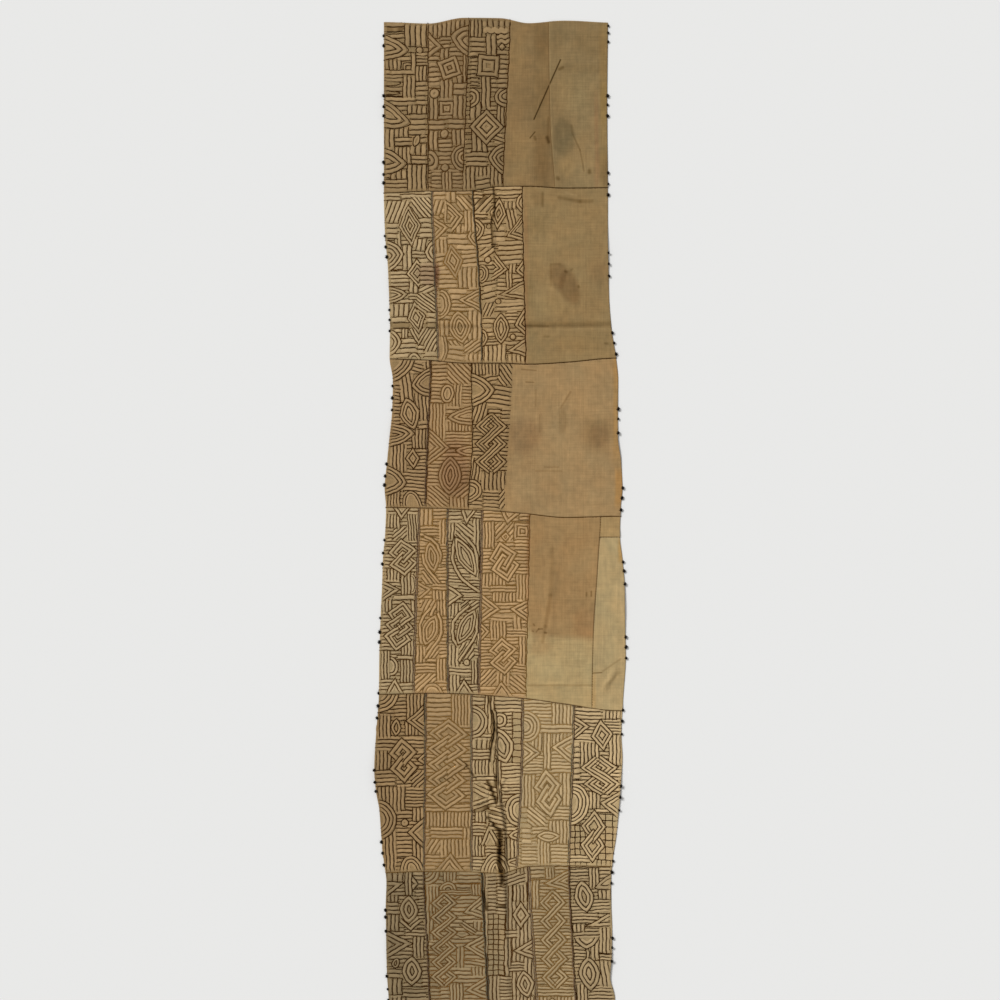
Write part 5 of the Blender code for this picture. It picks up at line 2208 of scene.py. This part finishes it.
# Mostly painted shade in the folds and creases of the pleat, the puckered knot and the second row, where it
# lies before the pleat leans. The first mark is a thick dark stitched line at the top left.
FOLD_MARKS = (
    Mark(-113.0, 9.0, -96.5, 8.8, 1.6, 0.25),
    Mark(-110.0, 305.3, -91.0, 305.0, 4.0, 0.55),
    Mark(-75.0, 305.0, -63.0, 305.0, 3.6, 0.70),
    Mark(-62.0, 305.0, -22.0, 305.5, 2.2, 0.80),
    Mark(-6.7, 166.0, -5.1, 187.3, 1.8, 0.16),
    Mark(-5.1, 187.3, -8.4, 201.8, 1.8, 0.16),
    Mark(-8.4, 201.8, -7.3, 228.0, 1.7, 0.20),
    Mark(-31.0, 178.0, -29.0, 184.5, 3.6, 0.62),
    Mark(-25.5, 186.0, -14.0, 176.5, 1.8, 0.40),
    Mark(-7.0, 187.0, -4.0, 179.0, 1.6, 0.45),
    Mark(-10.9, 677.5, -8.8, 690.5, 2.0, 0.22),
    Mark(-8.8, 690.5, -7.2, 703.4, 2.0, 0.12),
    Mark(-7.2, 703.4, -7.0, 710.0, 2.5, 0.08),
    Mark(-7.0, 710.0, -8.5, 721.0, 2.4, 0.09),
    Mark(-8.5, 721.0, -9.4, 729.0, 2.0, 0.16),
    Mark(-9.4, 729.0, -10.6, 741.0, 1.6, 0.26),
    Mark(-10.6, 741.0, -12.0, 756.0, 1.4, 0.42),
    Mark(-6.1, 754.5, -7.3, 766.0, 2.0, 0.16),
    Mark(-12.6, 761.5, -10.2, 768.8, 2.6, 0.14),
    Mark(-10.2, 768.8, -6.8, 780.5, 2.1, 0.10),
    Mark(-34.8, 744.0, -28.6, 752.5, 1.4, 0.36),
    Mark(-28.6, 752.5, -23.5, 759.5, 1.5, 0.36),
    Mark(-27.8, 791.6, -12.3, 786.9, 1.6, 0.34),
    Mark(-12.3, 786.9, -6.8, 783.0, 1.6, 0.30),
    Mark(-13.6, 790.4, -0.7, 793.0, 1.7, 0.34),
    Mark(-12.9, 797.0, -6.4, 804.5, 2.2, 0.22),
    Mark(-6.4, 804.5, -1.5, 810.7, 2.8, 0.14),
    Mark(-1.8, 810.7, -1.1, 822.7, 3.3, 0.09),
    Mark(-1.1, 822.7, -0.9, 832.0, 4.0, 0.06),
    Mark(-0.9, 832.0, -1.0, 841.0, 4.2, 0.06),
    Mark(-1.0, 841.0, 0.2, 850.5, 3.9, 0.08),
    Mark(0.8, 850.5, 1.3, 859.8, 3.7, 0.10),
    Mark(1.3, 859.8, 0.3, 866.5, 2.2, 0.24),
    Mark(-1.5, 886.6, 4.2, 885.7, 2.6, 0.26),
    Mark(-16.2, 872.0, -13.3, 889.0, 3.0, 0.22),
)


class Dyer:
    """Knows the cloth's colour at every place."""

    def __init__(self, cloth: LaidCloth) -> None:
        """Works on the laid cloth."""
        self.cloth = cloth

    def divider(self, row: Row, number: int) -> Curve:
        """The line right of a row's cell of that number. Before the first it is the left edge.

        Args:
            row: The row.
            number: The cell, from 0.

        Returns:
            The line as ways across.
        """
        if number < 0:
            return self.cloth.outline(-1)
        if number >= len(row.dividers):
            return self.cloth.outline(1)
        line = row.dividers[number]
        places = np.array([row.top, (row.top + row.foot) / 2, row.foot]) * CHART_SQUARE
        values = np.array([line.top, line.middle, line.foot]) * CHART_SQUARE
        return lambda down: smooth(places, values, down)

    def marked(self, marks: Sequence[Mark], across: Floats, down: Floats) -> Floats:
        """What the marks leave of the colour at each place.

        Args:
            marks: The marks.
            across: Ways right of the middle line.
            down: Ways below the top end.

        Returns:
            Shares of red, green and blue.
        """
        left = np.ones((*across.shape, 1))
        places = np.stack([across, down], axis=-1)
        for mark in marks:
            start, run, long = mark.line()
            along = np.clip((places - start) @ run, 0, long)
            gap = np.linalg.norm(places - start - along[..., None] * run, axis=-1, keepdims=True)
            near = np.clip(1 - gap / (mark.half_wide * CHART_SQUARE), 0, 1)
            left *= 1 - near * near * (3 - 2 * near) * (1 - mark.shade)
        return left**MARK_WARMTH

    def stained(self, name: str, across: Floats, down: Floats) -> Floats:
        """What the stains leave of a piece's colour at each place.

        Args:
            name: The sewn piece.
            across: Ways right of the middle line.
            down: Ways below the top end.

        Returns:
            Shares of red, green and blue.
        """
        left = np.ones((*across.shape, 3))
        for stain in (stain for stain in STAINS if stain.piece in ("", name)):
            angle = math.radians(stain.turn)
            x, y = across - stain.across, down - stain.down
            u = (x * math.cos(angle) + y * math.sin(angle)) / stain.half_across
            v = (y * math.cos(angle) - x * math.sin(angle)) / stain.half_down
            lobes = np.sin(3 * np.arctan2(v, u) + stain.down * STAIN_TURNING)
            wobble = 1 + STAIN_WOBBLE / stain.power * lobes
            way = (np.abs(u) ** stain.power + np.abs(v) ** stain.power) ** (1 / stain.power)
            share = np.clip((wobble - way) / stain.soft + 0.5, 0, 1)
            left *= 1 - share[..., None] * (1 - np.array(stain.shade))
        return left

    def colour(self, name: str, across: Floats, down: Floats) -> Floats:
        """The cloth's colour.

        Args:
            name: The sewn piece.
            across: Ways right of the middle line.
            down: Ways below the top end.

        Returns:
            Scene colours, one for each place.
        """
        if name in PLAIN_SIDES:
            tan = linear(PLAIN_SIDES[name]) * np.ones((*across.shape, 1))
        else:
            row = next(row for row in ROWS if row.name == name)
            tan = linear(row.plain) * np.ones((*across.shape, 1))
            tone = np.interp(across, (-TONE_HALF_SPAN, TONE_HALF_SPAN), row.tone)[..., None]
            for i, cell in enumerate(row.cells):
                here = (across > self.divider(row, i - 1)(down)) & (across <= self.divider(row, i)(down))
                tan = np.where(here[..., None], linear(cell.cloth.value) * tone**EYE_POWER, tan)
        # Rates in radians to the metre
        drift = 1 + COLOUR_DRIFT * np.sin(across * 23 + 3 * np.sin(down * 9)) * np.sin(down * 21 + 1.4)
        return tan * self.stained(name, across, down) * drift[..., None]


@dataclass(frozen=True)
class Sheet:
    """One sewn piece of cloth: a thin closed sheet with a rolled hem where its edges show."""

    name: str
    flat: tuple[float, float]
    area: float
    hems: str = "blr"
    fine_across: tuple[float, float] = (0.0, 0.0)
    fine_down: tuple[float, float] = (0.0, 0.0)
    grid: float = 0.0060
    rims: tuple[float, ...] = (0.0, 0.0003, 0.0012, 0.0026, 0.0045)
    hem_height: float = 0.0008
    hem_width: float = 0.0060
    hem_sharpness: float = 1.6
    hem_fade: float = 0.006

    def ways(self, long: float, start: float, fine: tuple[float, float]) -> Floats:
        """Shares of the way from edge to edge at which the sheet has its grid lines.

        Args:
            long: From edge to edge, in metres.
            start: Where the first edge lies.
            fine: From where to where the grid is twice as fine.

        Returns:
            Rising shares from 0 to 1.
        """
        rims = np.array(self.rims)
        count = math.ceil((long - 2 * rims[-1]) / self.grid)
        inner = np.linspace(rims[-1], long - rims[-1], count + 1)
        halves = (inner[1:] + inner[:-1]) / 2
        halves = halves[(halves + start > fine[0]) & (halves + start < fine[1])]
        return np.sort(np.concatenate([rims[:-1], inner, halves, long - rims[:-1]])) / long

    def places(self, cut: Cut) -> tuple[Floats, Floats]:
        """Across and down of every grid point.

        Args:
            cut: The piece with its edges.

        Returns:
            Ways across and down, as two grids.
        """
        wide, high = self.flat
        middle = np.zeros(1)
        left, top = float(cut.left(np.full(1, cut.top(middle)[0]))[0]), float(cut.top(middle)[0])
        u = self.ways(wide, left, self.fine_across)[None, :]
        v = self.ways(high, top, self.fine_down)[:, None]
        across, down = left + wide * u + 0 * v, top + high * v + 0 * u
        for _ in range(SETTLING_ROUNDS):
            one, other = cut.left(down), cut.right(down)
            across = one + (other - one) * u
            one, other = cut.top(across), cut.bottom(across)
            down = one + (other - one) * v
        return across, down

    def hem(self, insides: Sequence[Floats]) -> Floats:
        """How far the rolled hem stands above the cloth, from the ways to the four edges.

        Args:
            insides: Ways to the top, bottom, left and right edge.

        Returns:
            Metres at each place.
        """
        roll = np.zeros_like(insides[0])
        for letter, inside in zip("tblr", insides):
            if letter in self.hems:
                roll = np.maximum(roll, ridge((inside / self.hem_width - 0.5) * self.hem_sharpness))
        if "t" not in self.hems:
            roll = roll * np.clip((insides[0] - LAP) / self.hem_fade, 0, 1)
        return roll * self.hem_height

    def build(self, cloth: LaidCloth, dyer: Dyer, finish: bpy.types.Material) -> bpy.types.Object:
        """Makes the sheet.

        Args:
            cloth: The laid cloth that gives the sheet its shape.
            dyer: What gives the sheet its colours.
            finish: The sheet's material.

        Returns:
            The sheet as a finished piece that stands for its CAD node.
        """
        cut = cloth.cut(self.name)
        across, down = self.places(cut)
        insides = [np.maximum(way, 0) for way in cut.insides(across, down)]
        # The edge is round as far in as the third grid line
        rim = np.minimum.reduce(insides) / self.rims[2]
        rounded = np.sqrt(1 - (1 - np.clip(rim, 0, 1)) ** 2) / 2
        upper = cloth.raised(self.name, across, down, THICKNESS * (0.5 + rounded) + self.hem(insides))
        lower = cloth.raised(self.name, across, down, THICKNESS * (0.5 - rounded))
        rows, columns = across.shape
        number = np.arange(rows * columns).reshape(rows, columns)
        under = number.copy()
        under[1:-1, 1:-1] = rows * columns + np.arange((rows - 2) * (columns - 2)).reshape(rows - 2, -1)
        points = np.concatenate([upper.reshape(-1, 3), lower[1:-1, 1:-1].reshape(-1, 3)])
        top = np.stack([number[:-1, :-1], number[1:, :-1], number[1:, 1:], number[:-1, 1:]], axis=-1)
        low = np.stack([under[:-1, :-1], under[:-1, 1:], under[1:, 1:], under[1:, :-1]], axis=-1)
        faces = np.concatenate([top.reshape(-1, 4), low.reshape(-1, 4)])
        mesh = bpy.data.meshes.new(self.name)
        mesh.from_pydata(points.tolist(), [], faces.tolist())
        mesh.shade_smooth()
        # FOLD_MARKS paint the shade of folds and creases into the sheet's colour
        dyes = dyer.colour(self.name, across, down) * dyer.marked(FOLD_MARKS, across, down)
        carry_dye(mesh, np.concatenate([dyes.reshape(-1, 3), dyes[1:-1, 1:-1].reshape(-1, 3)]))
        mesh.materials.append(finish)
        piece = bpy.data.objects.new(self.name + "_cloth", mesh)
        bpy.context.scene.collection.objects.link(piece)
        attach(piece, BODY)
        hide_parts(self.name)
        return piece


SHEETS = (
    Sheet("panel_1", (0.485, 0.486), 0.225, "tbl"),
    Sheet("panel_1_side", (0.162, 0.467), 0.074, "tblr"),
    Sheet("panel_2", (0.636, 0.506), 0.3075, "blr", (-0.032, -0.006), (0.836, 0.872)),
    Sheet("panel_3", (0.664, 0.452), 0.278, "blr"),
    Sheet("panel_4", (0.616, 0.560), 0.317, "blr"),
    Sheet("panel_4_side", (0.105, 0.495), 0.0456, "br", (0.28, 0.35)),
    Sheet("panel_4_corner", (0.068, 0.068), 0.0045, "br"),
    Sheet("panel_5", (0.690, 0.508), 0.333, "blr", (-0.085, 0.045)),
    Sheet("panel_6", (0.644, 0.510), 0.317, "blr", (-0.012, 0.038)),
)


def slipped(places: Floats) -> Floats:
    """The same places with the small slips of a hand that works without a ruler, in squares.

    Args:
        places: Where the chart puts the points.

    Returns:
        Where the hand puts them.
    """
    # Rates in radians to the square
    x, y = places.T
    aside = HAND_SWAY * np.sin(y * 0.31 + HAND_BEND * np.sin(x * 0.12))
    along = HAND_SWAY * np.sin(x * 0.29 + HAND_BEND * np.sin(y * 0.13))
    aside = aside + HAND_SHAKE * np.sin(y * 0.83 + x * 0.41)
    along = along + HAND_SHAKE * np.sin(x * 0.79 - y * 0.37)
    return places + np.stack([aside, along], axis=1)


class Run(NamedTuple):
    """A stretch of a chart's line that shows, in squares from the cloth's middle and top."""

    places: Floats
    stroke: Stroke
    thread: Floats


class Embroidery:
    """The embroidery of one row: lines of stitches, and the raised bands between them."""

    def __init__(self, row: Row, dyer: Dyer, seed: int) -> None:
        """Works on one row.

        Args:
            row: The row.
            dyer: What knows the cloth's colour.
            seed: The seed for what is uneven by hand.
        """
        self.row = row
        self.dyer = dyer
        self.cloth = dyer.cloth
        self.random = np.random.default_rng(seed)

    def between_seams(self, across: Floats, down: Floats, top_room: float) -> Flags:
        """Which places lie between the row's seams, and clear of them.

        Args:
            across: Ways right of the middle line.
            down: Ways below the top end.
            top_room: Metres that stay free at the upper seam.

        Returns:
            A flag for each place.
        """
        top = self.cloth.seam(self.row.above)(across) + top_room
        foot = self.cloth.seam(self.row.under)(across) - SEAM_ROOM
        return (down > top) & (down < foot)

    def clear(self, number: int, places: Floats) -> Flags:
        """Which places lie inside a cell and clear of its borders.

        Args:
            number: The cell, from 0.
            places: Places in squares.

        Returns:
            A flag for each place.
        """
        across, down = places.T * CHART_SQUARE
        room = CELL_MARGIN * CHART_SQUARE
        left, right = self.dyer.divider(self.row, number - 1), self.dyer.divider(self.row, number)
        inside = self.between_seams(across, down, SEAM_ROOM)
        return inside & (across > left(down) + room) & (across < right(down) - room)

    def runs(self) -> Iterator[Run]:
        """Every stretch of line and band that shows.

        Returns:
            The stretches, one after the other.
        """
        for number, cell in enumerate(self.row.cells):
            origin = (cell.left, self.row.top)
            covered: list[Floats] = []
            for motif in motifs(cell.chart, cell.pitch):
                for stroke in motif.strokes():
                    points = sampled(stroke.points, SAMPLE)
                    shown = self.clear(number, points + origin)
                    for polygon in (*covered, *stroke.cuts):
                        if shown.any():
                            shown &= ~within(points, polygon)
                    if shown.any():
                        for run in stretches(points, shown):
                            yield Run(run + origin, stroke, linear(cell.thread.value))
                covered += motif.footprint()

    def couched(self) -> Iterator[Run]:
        """The lines between the cells, cut at the seams of the row.

        Returns:
            The stretches, one after the other.
        """
        downs = np.arange(self.row.top - COUCHED_SPARE, self.row.foot + COUCHED_SPARE, SAMPLE)
        for number, divider in enumerate(self.row.dividers):
            across = self.dyer.divider(self.row, number)(downs * CHART_SQUARE) / CHART_SQUARE
            for aside, hue in divider.look.value:
                places = np.stack([across + aside, downs], axis=1)
                x, y = places.T * CHART_SQUARE
                for run in stretches(places, self.between_seams(x, y, SEAM_ROOM / 2)):
                    yield Run(run, Stroke(run, False, 0.0), linear(hue.value))

    def lines(self) -> tuple[Lines, Lines]:
        """The stitched lines and the raised bands, laid on the cloth.

        Returns:
            The stitched lines and the bands.
        """
        stitched, bands = Lines(), Lines()
        runs = [*self.runs(), *self.couched()]
        places = np.concatenate([run.places for run in runs])
        counts = [len(run.places) for run in runs]
        slips = np.repeat(self.random.normal(0, HAND_SLIP, (len(runs), 2)), counts, axis=0)
        across, down = (slipped(places) + slips).T * CHART_SQUARE
        up = self.cloth.normal(across, down)
        ground = self.cloth.raised(self.row.name, across, down, THICKNESS)
        cloth_dye = self.dyer.colour(self.row.name, across, down)
        # The marks paint the shade and highlights of folds, wrinkles and creases, as well as the slit and
        # spots, into the bands and stitches too
        shade = self.dyer.marked(PLAIN_MARKS + FOLD_MARKS, across, down)
        cloth_dye *= shade
        shade = shade * self.dyer.stained(self.row.name, across, down)
        start = 0
        for run, count in zip(runs, counts):
            part = slice(start, start + count)
            start += count
            if run.stroke.raised:
                # Each band takes the cloth's colour, painted lighter and greyer: partly its own tone,
                # partly painted highlight on its raised top
                tone = BAND_TONE_AND_HIGHLIGHT + self.random.normal(0, BAND_SPREAD)
                tint = np.array(BAND_HIGHLIGHT_TINT) * tone
                self.add_band(bands, run, ground[part], up[part], cloth_dye[part] * tint)
            else:
                tone = 1 + self.random.normal(0, STITCH_SPREAD)
                place = ground[part] + up[part] * STITCH_LIFT
                stitched.add(place, up[part], run.thread * shade[part] * tone)
        return stitched, bands

    def add_band(self, bands: Lines, run: Run, places: Floats, up: Floats, dyes: Floats) -> None:
        """Adds one band, thinned out and narrowed at its ends.

        Args:
            bands: What collects the bands.
            run: The stretch of the chart.
            places: Its points in the frame.
            up: The way out of the cloth at each point.
            dyes: The colour at each point.
        """
        width = run.stroke.pitch * CHART_SQUARE - BAND_ROOM
        closed = np.linalg.norm(places[0] - places[-1]) < CHART_SQUARE / 10
        way = way_along(places)
        if not closed:
            trim = BAND_TRIM * CHART_SQUARE
            inside = (way > trim) & (way < way[-1] - trim)
            places, up, dyes, way = places[inside], up[inside], dyes[inside], way[inside]
            if len(places) < BAND_POINTS or way[-1] - way[0] < width:
                return
        keep = set(needed(np.hstack([places, dyes * DYE_WEIGHT]), BAND_SLACK))
        widths = np.full(len(places), width)
        if not closed:
            shoulder = int(np.searchsorted(way, way[0] + width * BAND_SHOULDER))
            other = int(np.searchsorted(way, way[-1] - width * BAND_SHOULDER))
            keep |= {shoulder, other}
            keep -= set(range(1, shoulder)) | set(range(other + 1, len(places) - 1))
            widths[[0, -1]] *= BAND_END
        chosen = sorted(keep)
        bands.add(places[chosen], up[chosen], dyes[chosen], widths[chosen])

    def build(self, stitching: Stitching, banding: Banding) -> list[bpy.types.Object]:
        """Dresses the row's lines and bands as two pieces.

        Args:
            stitching: The tree that makes stitches.
            banding: The tree that makes bands.

        Returns:
            The stitches and the bands.
        """
        stitched, bands = self.lines()
        pieces = [
            stitching.dress(stitched, self.row.name + "_stitches"),
            banding.dress(bands, self.row.name + "_bands"),
        ]
        for piece in pieces:
            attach(piece, BODY)
        return pieces


class Course(NamedTuple):
    """A line of hand sewing: its ways across and down, its thread, and whether its stitches part."""

    across: Floats
    down: Floats
    hue: ThreadHue
    apart: bool


@dataclass(frozen=True)
class Sewing:
    """Threads of the seams: close stitches in the crook of each lap, dark and wide so that they also paint
    the shadow there, and short ones on the strip.
    """

    crook: float = 0.0006
    step: float = 0.003
    seam_reach: tuple[float, float] = (-0.36, 0.36)
    side_1_reach: tuple[float, float] = (0.008, 0.467)
    side_4_reach: tuple[float, float] = (1.392, 1.920)
    corner_reach: tuple[float, float] = (0.283, 0.335)
    # The close stitches are wide, so that they also paint the shadow in the crook of each lap
    close: StitchSizes = StitchSizes(0.0042, 0.0066, 0.0032, 0.0017, 0.12)
    short: StitchSizes = StitchSizes(0.0072, 0.0040, 0.0026, 0.0014, 0.30)

    def courses(self, cloth: LaidCloth) -> Iterator[Course]:
        """Every line of sewing, cut off at the edges of the cloth and at the seams of its row.

        Args:
            cloth: The laid cloth that carries it.

        Returns:
            The courses, one after the other.
        """
        across = np.arange(*self.seam_reach, self.step)
        for seam, hue in SEAM_THREAD_AND_SHADOW_HUES.items():
            down = cloth.seam(seam, self.crook)(across)
            inside = (across > cloth.outline(-1)(down)) & (across < cloth.outline(1)(down))
            yield Course(across[inside], down[inside], hue, False)
        down = np.arange(*self.side_1_reach, self.step)
        yield Course(cloth.side_seam(SIDE_SEAM_1, -self.crook)(down), down, ThreadHue.SAND, False)
        down = np.arange(*self.side_4_reach, self.step)
        yield Course(cloth.side_seam(SIDE_SEAM_4, self.crook)(down), down, ThreadHue.BROWN, True)
        across = np.arange(*self.corner_reach, self.step)
        down = np.full_like(across, CORNER_SEAM_DOWN + self.crook)
        yield Course(across, down, ThreadHue.UMBER, True)

    def build(self, cloth: LaidCloth, finish: bpy.types.Material) -> list[bpy.types.Object]:
        """Sews the seams: the close stitches are one piece, and the short ones another.

        Args:
            cloth: The laid cloth that carries it.
            finish: The material of the result.

        Returns:
            The two pieces.
        """
        pieces = []
        kinds = (("seam_threads", False, self.close), ("strip_threads", True, self.short))
        for name, apart, sizes in kinds:
            lines = Lines()
            for course in self.courses(cloth):
                if course.apart == apart:
                    places = cloth.surface(course.across, course.down, STITCH_LIFT)
                    ups = cloth.normal(course.across, course.down)
                    lines.add(places, ups, linear(course.hue.value))
            pieces.append(Stitching(finish, sizes).dress(lines, name))
            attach(pieces[-1], BODY)
        return pieces


@dataclass(frozen=True)
class EdgeKnots:
    """The black tufts that are tied in threes along both side edges.

    `left` and `right` are their squares down, counted so that the cloth's top end is at `first`.
    """

    left: tuple[float, ...] = (
        36, 46, 96, 107, 116, 162.5, 174.6, 183, 236, 247, 257, 310, 320, 331, 386, 398, 410, 464, 476,
        485, 540, 553, 564, 618, 632, 642, 693, 706, 718, 770, 782, 791, 842, 853, 865, 910, 917, 931,
        976, 989, 1000,
    )
    right: tuple[float, ...] = (
        26, 33, 42, 96, 105, 116, 173, 184, 195, 253, 264, 276, 333, 343, 354, 409, 419, 433, 488, 498,
        510, 562, 571, 584, 637, 647, 658, 710, 721, 734, 786, 797, 810, 861, 872, 883, 938, 947.5, 961,
        1012, 1022, 1033,
    )
    first: float = 20.0
    size: float = 0.0110
    outside: float = 0.0010
    lift: float = 0.0018
    rings: int = 4
    sides: int = 7
    half: tuple[float, float, float] = (0.31, 0.41, 0.24)
    lump: float = 0.12
    lobes: tuple[int, int] = (5, 3)
    ends: int = 6
    first_end: float = 0.4
    end_stations: tuple[tuple[float, float], ...] = ((0.22, 0.09), (0.45, 0.05))

    def shape(self) -> bpy.types.Object:
        """One knot of unit size: a lumpy ball, longer down the edge, with short ends of thread.

        Returns:
            The knot, for a tree to repeat.
        """
        corners: list[tuple[float, float, float]] = []
        faces: list[tuple[int, ...]] = []
        rings, sides = self.rings, self.sides
        wide, long, high = self.half
        lobes_round, lobes_over = self.lobes
        for i in range(1, rings):
            for j in range(sides):
                a, b = math.pi * i / rings, math.tau * j / sides
                swell = (1 + self.lump * math.sin(lobes_round * b + lobes_over * a)) * math.sin(a)
                x, y = wide * swell * math.cos(b), long * swell * math.sin(b)
                corners.append((x, y, high * math.cos(a)))
        corners += [(0, 0, high), (0, 0, -high)]
        top, foot = len(corners) - 2, len(corners) - 1
        for j in range(sides):
            k = (j + 1) % sides
            faces += [(top, j, k), (foot, (rings - 2) * sides + k, (rings - 2) * sides + j)]
            faces += [
                (i * sides + j, (i + 1) * sides + j, (i + 1) * sides + k, i * sides + k)
                for i in range(rings - 2)
            ]
        for j in range(self.ends):
            angle = math.tau * j / self.ends + self.first_end
            out, aside = (math.cos(angle), math.sin(angle)), (-math.sin(angle), math.cos(angle))
            start = len(corners)
            for reach, half in self.end_stations:
                for x, z in ((half, 0.0), (0.0, half), (-half, 0.0), (0.0, -half)):
                    corners.append((out[0] * reach + aside[0] * x, out[1] * reach + aside[1] * x, z))
            for k in range(4):
                after = (k + 1) % 4
                faces.append((start + k, start + after, start + 4 + after, start + 4 + k))
            faces += [tuple(start + k for k in (3, 2, 1, 0)), tuple(start + 4 + k for k in range(4))]
        return solid("knot", corners, faces)

    def build(self, cloth: LaidCloth, finish: bpy.types.Material) -> bpy.types.Object:
        """Ties the knots on.

        Args:
            cloth: The laid cloth that carries it.
            finish: The material of the result.

        Returns:
            The knots as one piece.
        """
        points = Lines()
        for side, squares in ((-1, self.left), (1, self.right)):
            down = (np.array(squares) - self.first) * CHART_SQUARE
            across = cloth.outline(side)(down) + side * self.outside
            places = cloth.surface(across, down, self.lift)
            points.add(places, cloth.normal(across, down), linear(ThreadHue.BLACK.value))
        tree = Knotting(finish, self.size, self.shape())
        knots = tree.dress(points, "edge_knots")
        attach(knots, BODY)
        return knots


@dataclass(frozen=True)
class Studio:
    """Plain pale floor, soft light, and the camera straight above the cloth."""

    view_wide: float = 2.8
    centre_up: float = 0.0895
    lens: float = 120.0
    sensor: float = 36.0
    floor_half: float = 40.0
    floor_drop: float = 0.0003
    clip_end: float = 100.0
    sky: float = 0.46
    lamp: float = 2.5
    lamp_spread: float = 20.0
    lamp_way: tuple[float, float, float] = (0.62, -0.50, -0.78)

    def build(self) -> None:
        """Sets up the floor, the lights and the camera."""
        scene = bpy.context.scene
        scene.view_settings.view_transform = "Standard"
        half, low = self.floor_half, -self.floor_drop
        corners = [(-half, -half, low), (half, -half, low), (half, half, low), (-half, half, low)]
        floor = solid("floor", corners, [(0, 1, 2, 3)])
        floor.data.materials.append(PaleFloor().material())
        scene.collection.objects.link(floor)
        floor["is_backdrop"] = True
        world = bpy.data.worlds.new("studio")
        world.use_nodes = True
        sky = world.node_tree.nodes["Background"].inputs
        sky["Color"].default_value = (1.0, 1.0, 1.0, 1.0)
        sky["Strength"].default_value = self.sky
        scene.world = world
        lamp = bpy.data.lights.new("lamp", "SUN")
        lamp.energy, lamp.angle = self.lamp, math.radians(self.lamp_spread)
        far = bpy.data.objects.new("lamp", lamp)
        far.rotation_euler = Vector(self.lamp_way).to_track_quat("-Z", "Y").to_euler()
        scene.collection.objects.link(far)
        optics = bpy.data.cameras.new("camera")
        optics.lens, optics.sensor_width, optics.clip_end = self.lens, self.sensor, self.clip_end
        camera = bpy.data.objects.new("camera", optics)
        high = self.view_wide * self.lens / self.sensor
        camera.location = (0.0, self.centre_up, high)
        scene.collection.objects.link(camera)
        scene.camera = camera


def main() -> None:
    """Builds the cloth piece by piece and reports each one."""
    logging.basicConfig(level=logging.INFO, format="%(message)s")
    cloth = LaidCloth()
    dyer = Dyer(cloth)
    weave, thread = WovenRaffia().material(), SpunRaffia().material()
    pieces: list[bpy.types.Object] = []
    sheets = [(sheet, sheet.build(cloth, dyer, weave)) for sheet in SHEETS]
    stitching, banding = Stitching(thread, StitchSizes()), Banding(thread, BAND_CROWN)
    for number, row in enumerate(ROWS):
        pieces += Embroidery(row, dyer, number + 1).build(stitching, banding)
    pieces += Sewing().build(cloth, thread)
    pieces.append(EdgeKnots().build(cloth, thread))
    Studio().build()
    for piece in [piece for _, piece in sheets] + pieces:
        piece.data.calc_loop_triangles()
        log.info("%s: %d triangles", piece.name, len(piece.data.loop_triangles))
    bpy.context.view_layer.update()
    [[list(corner) for corner in box] for box in (CAD_BOX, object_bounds())]


if __name__ == "__main__":
    main()
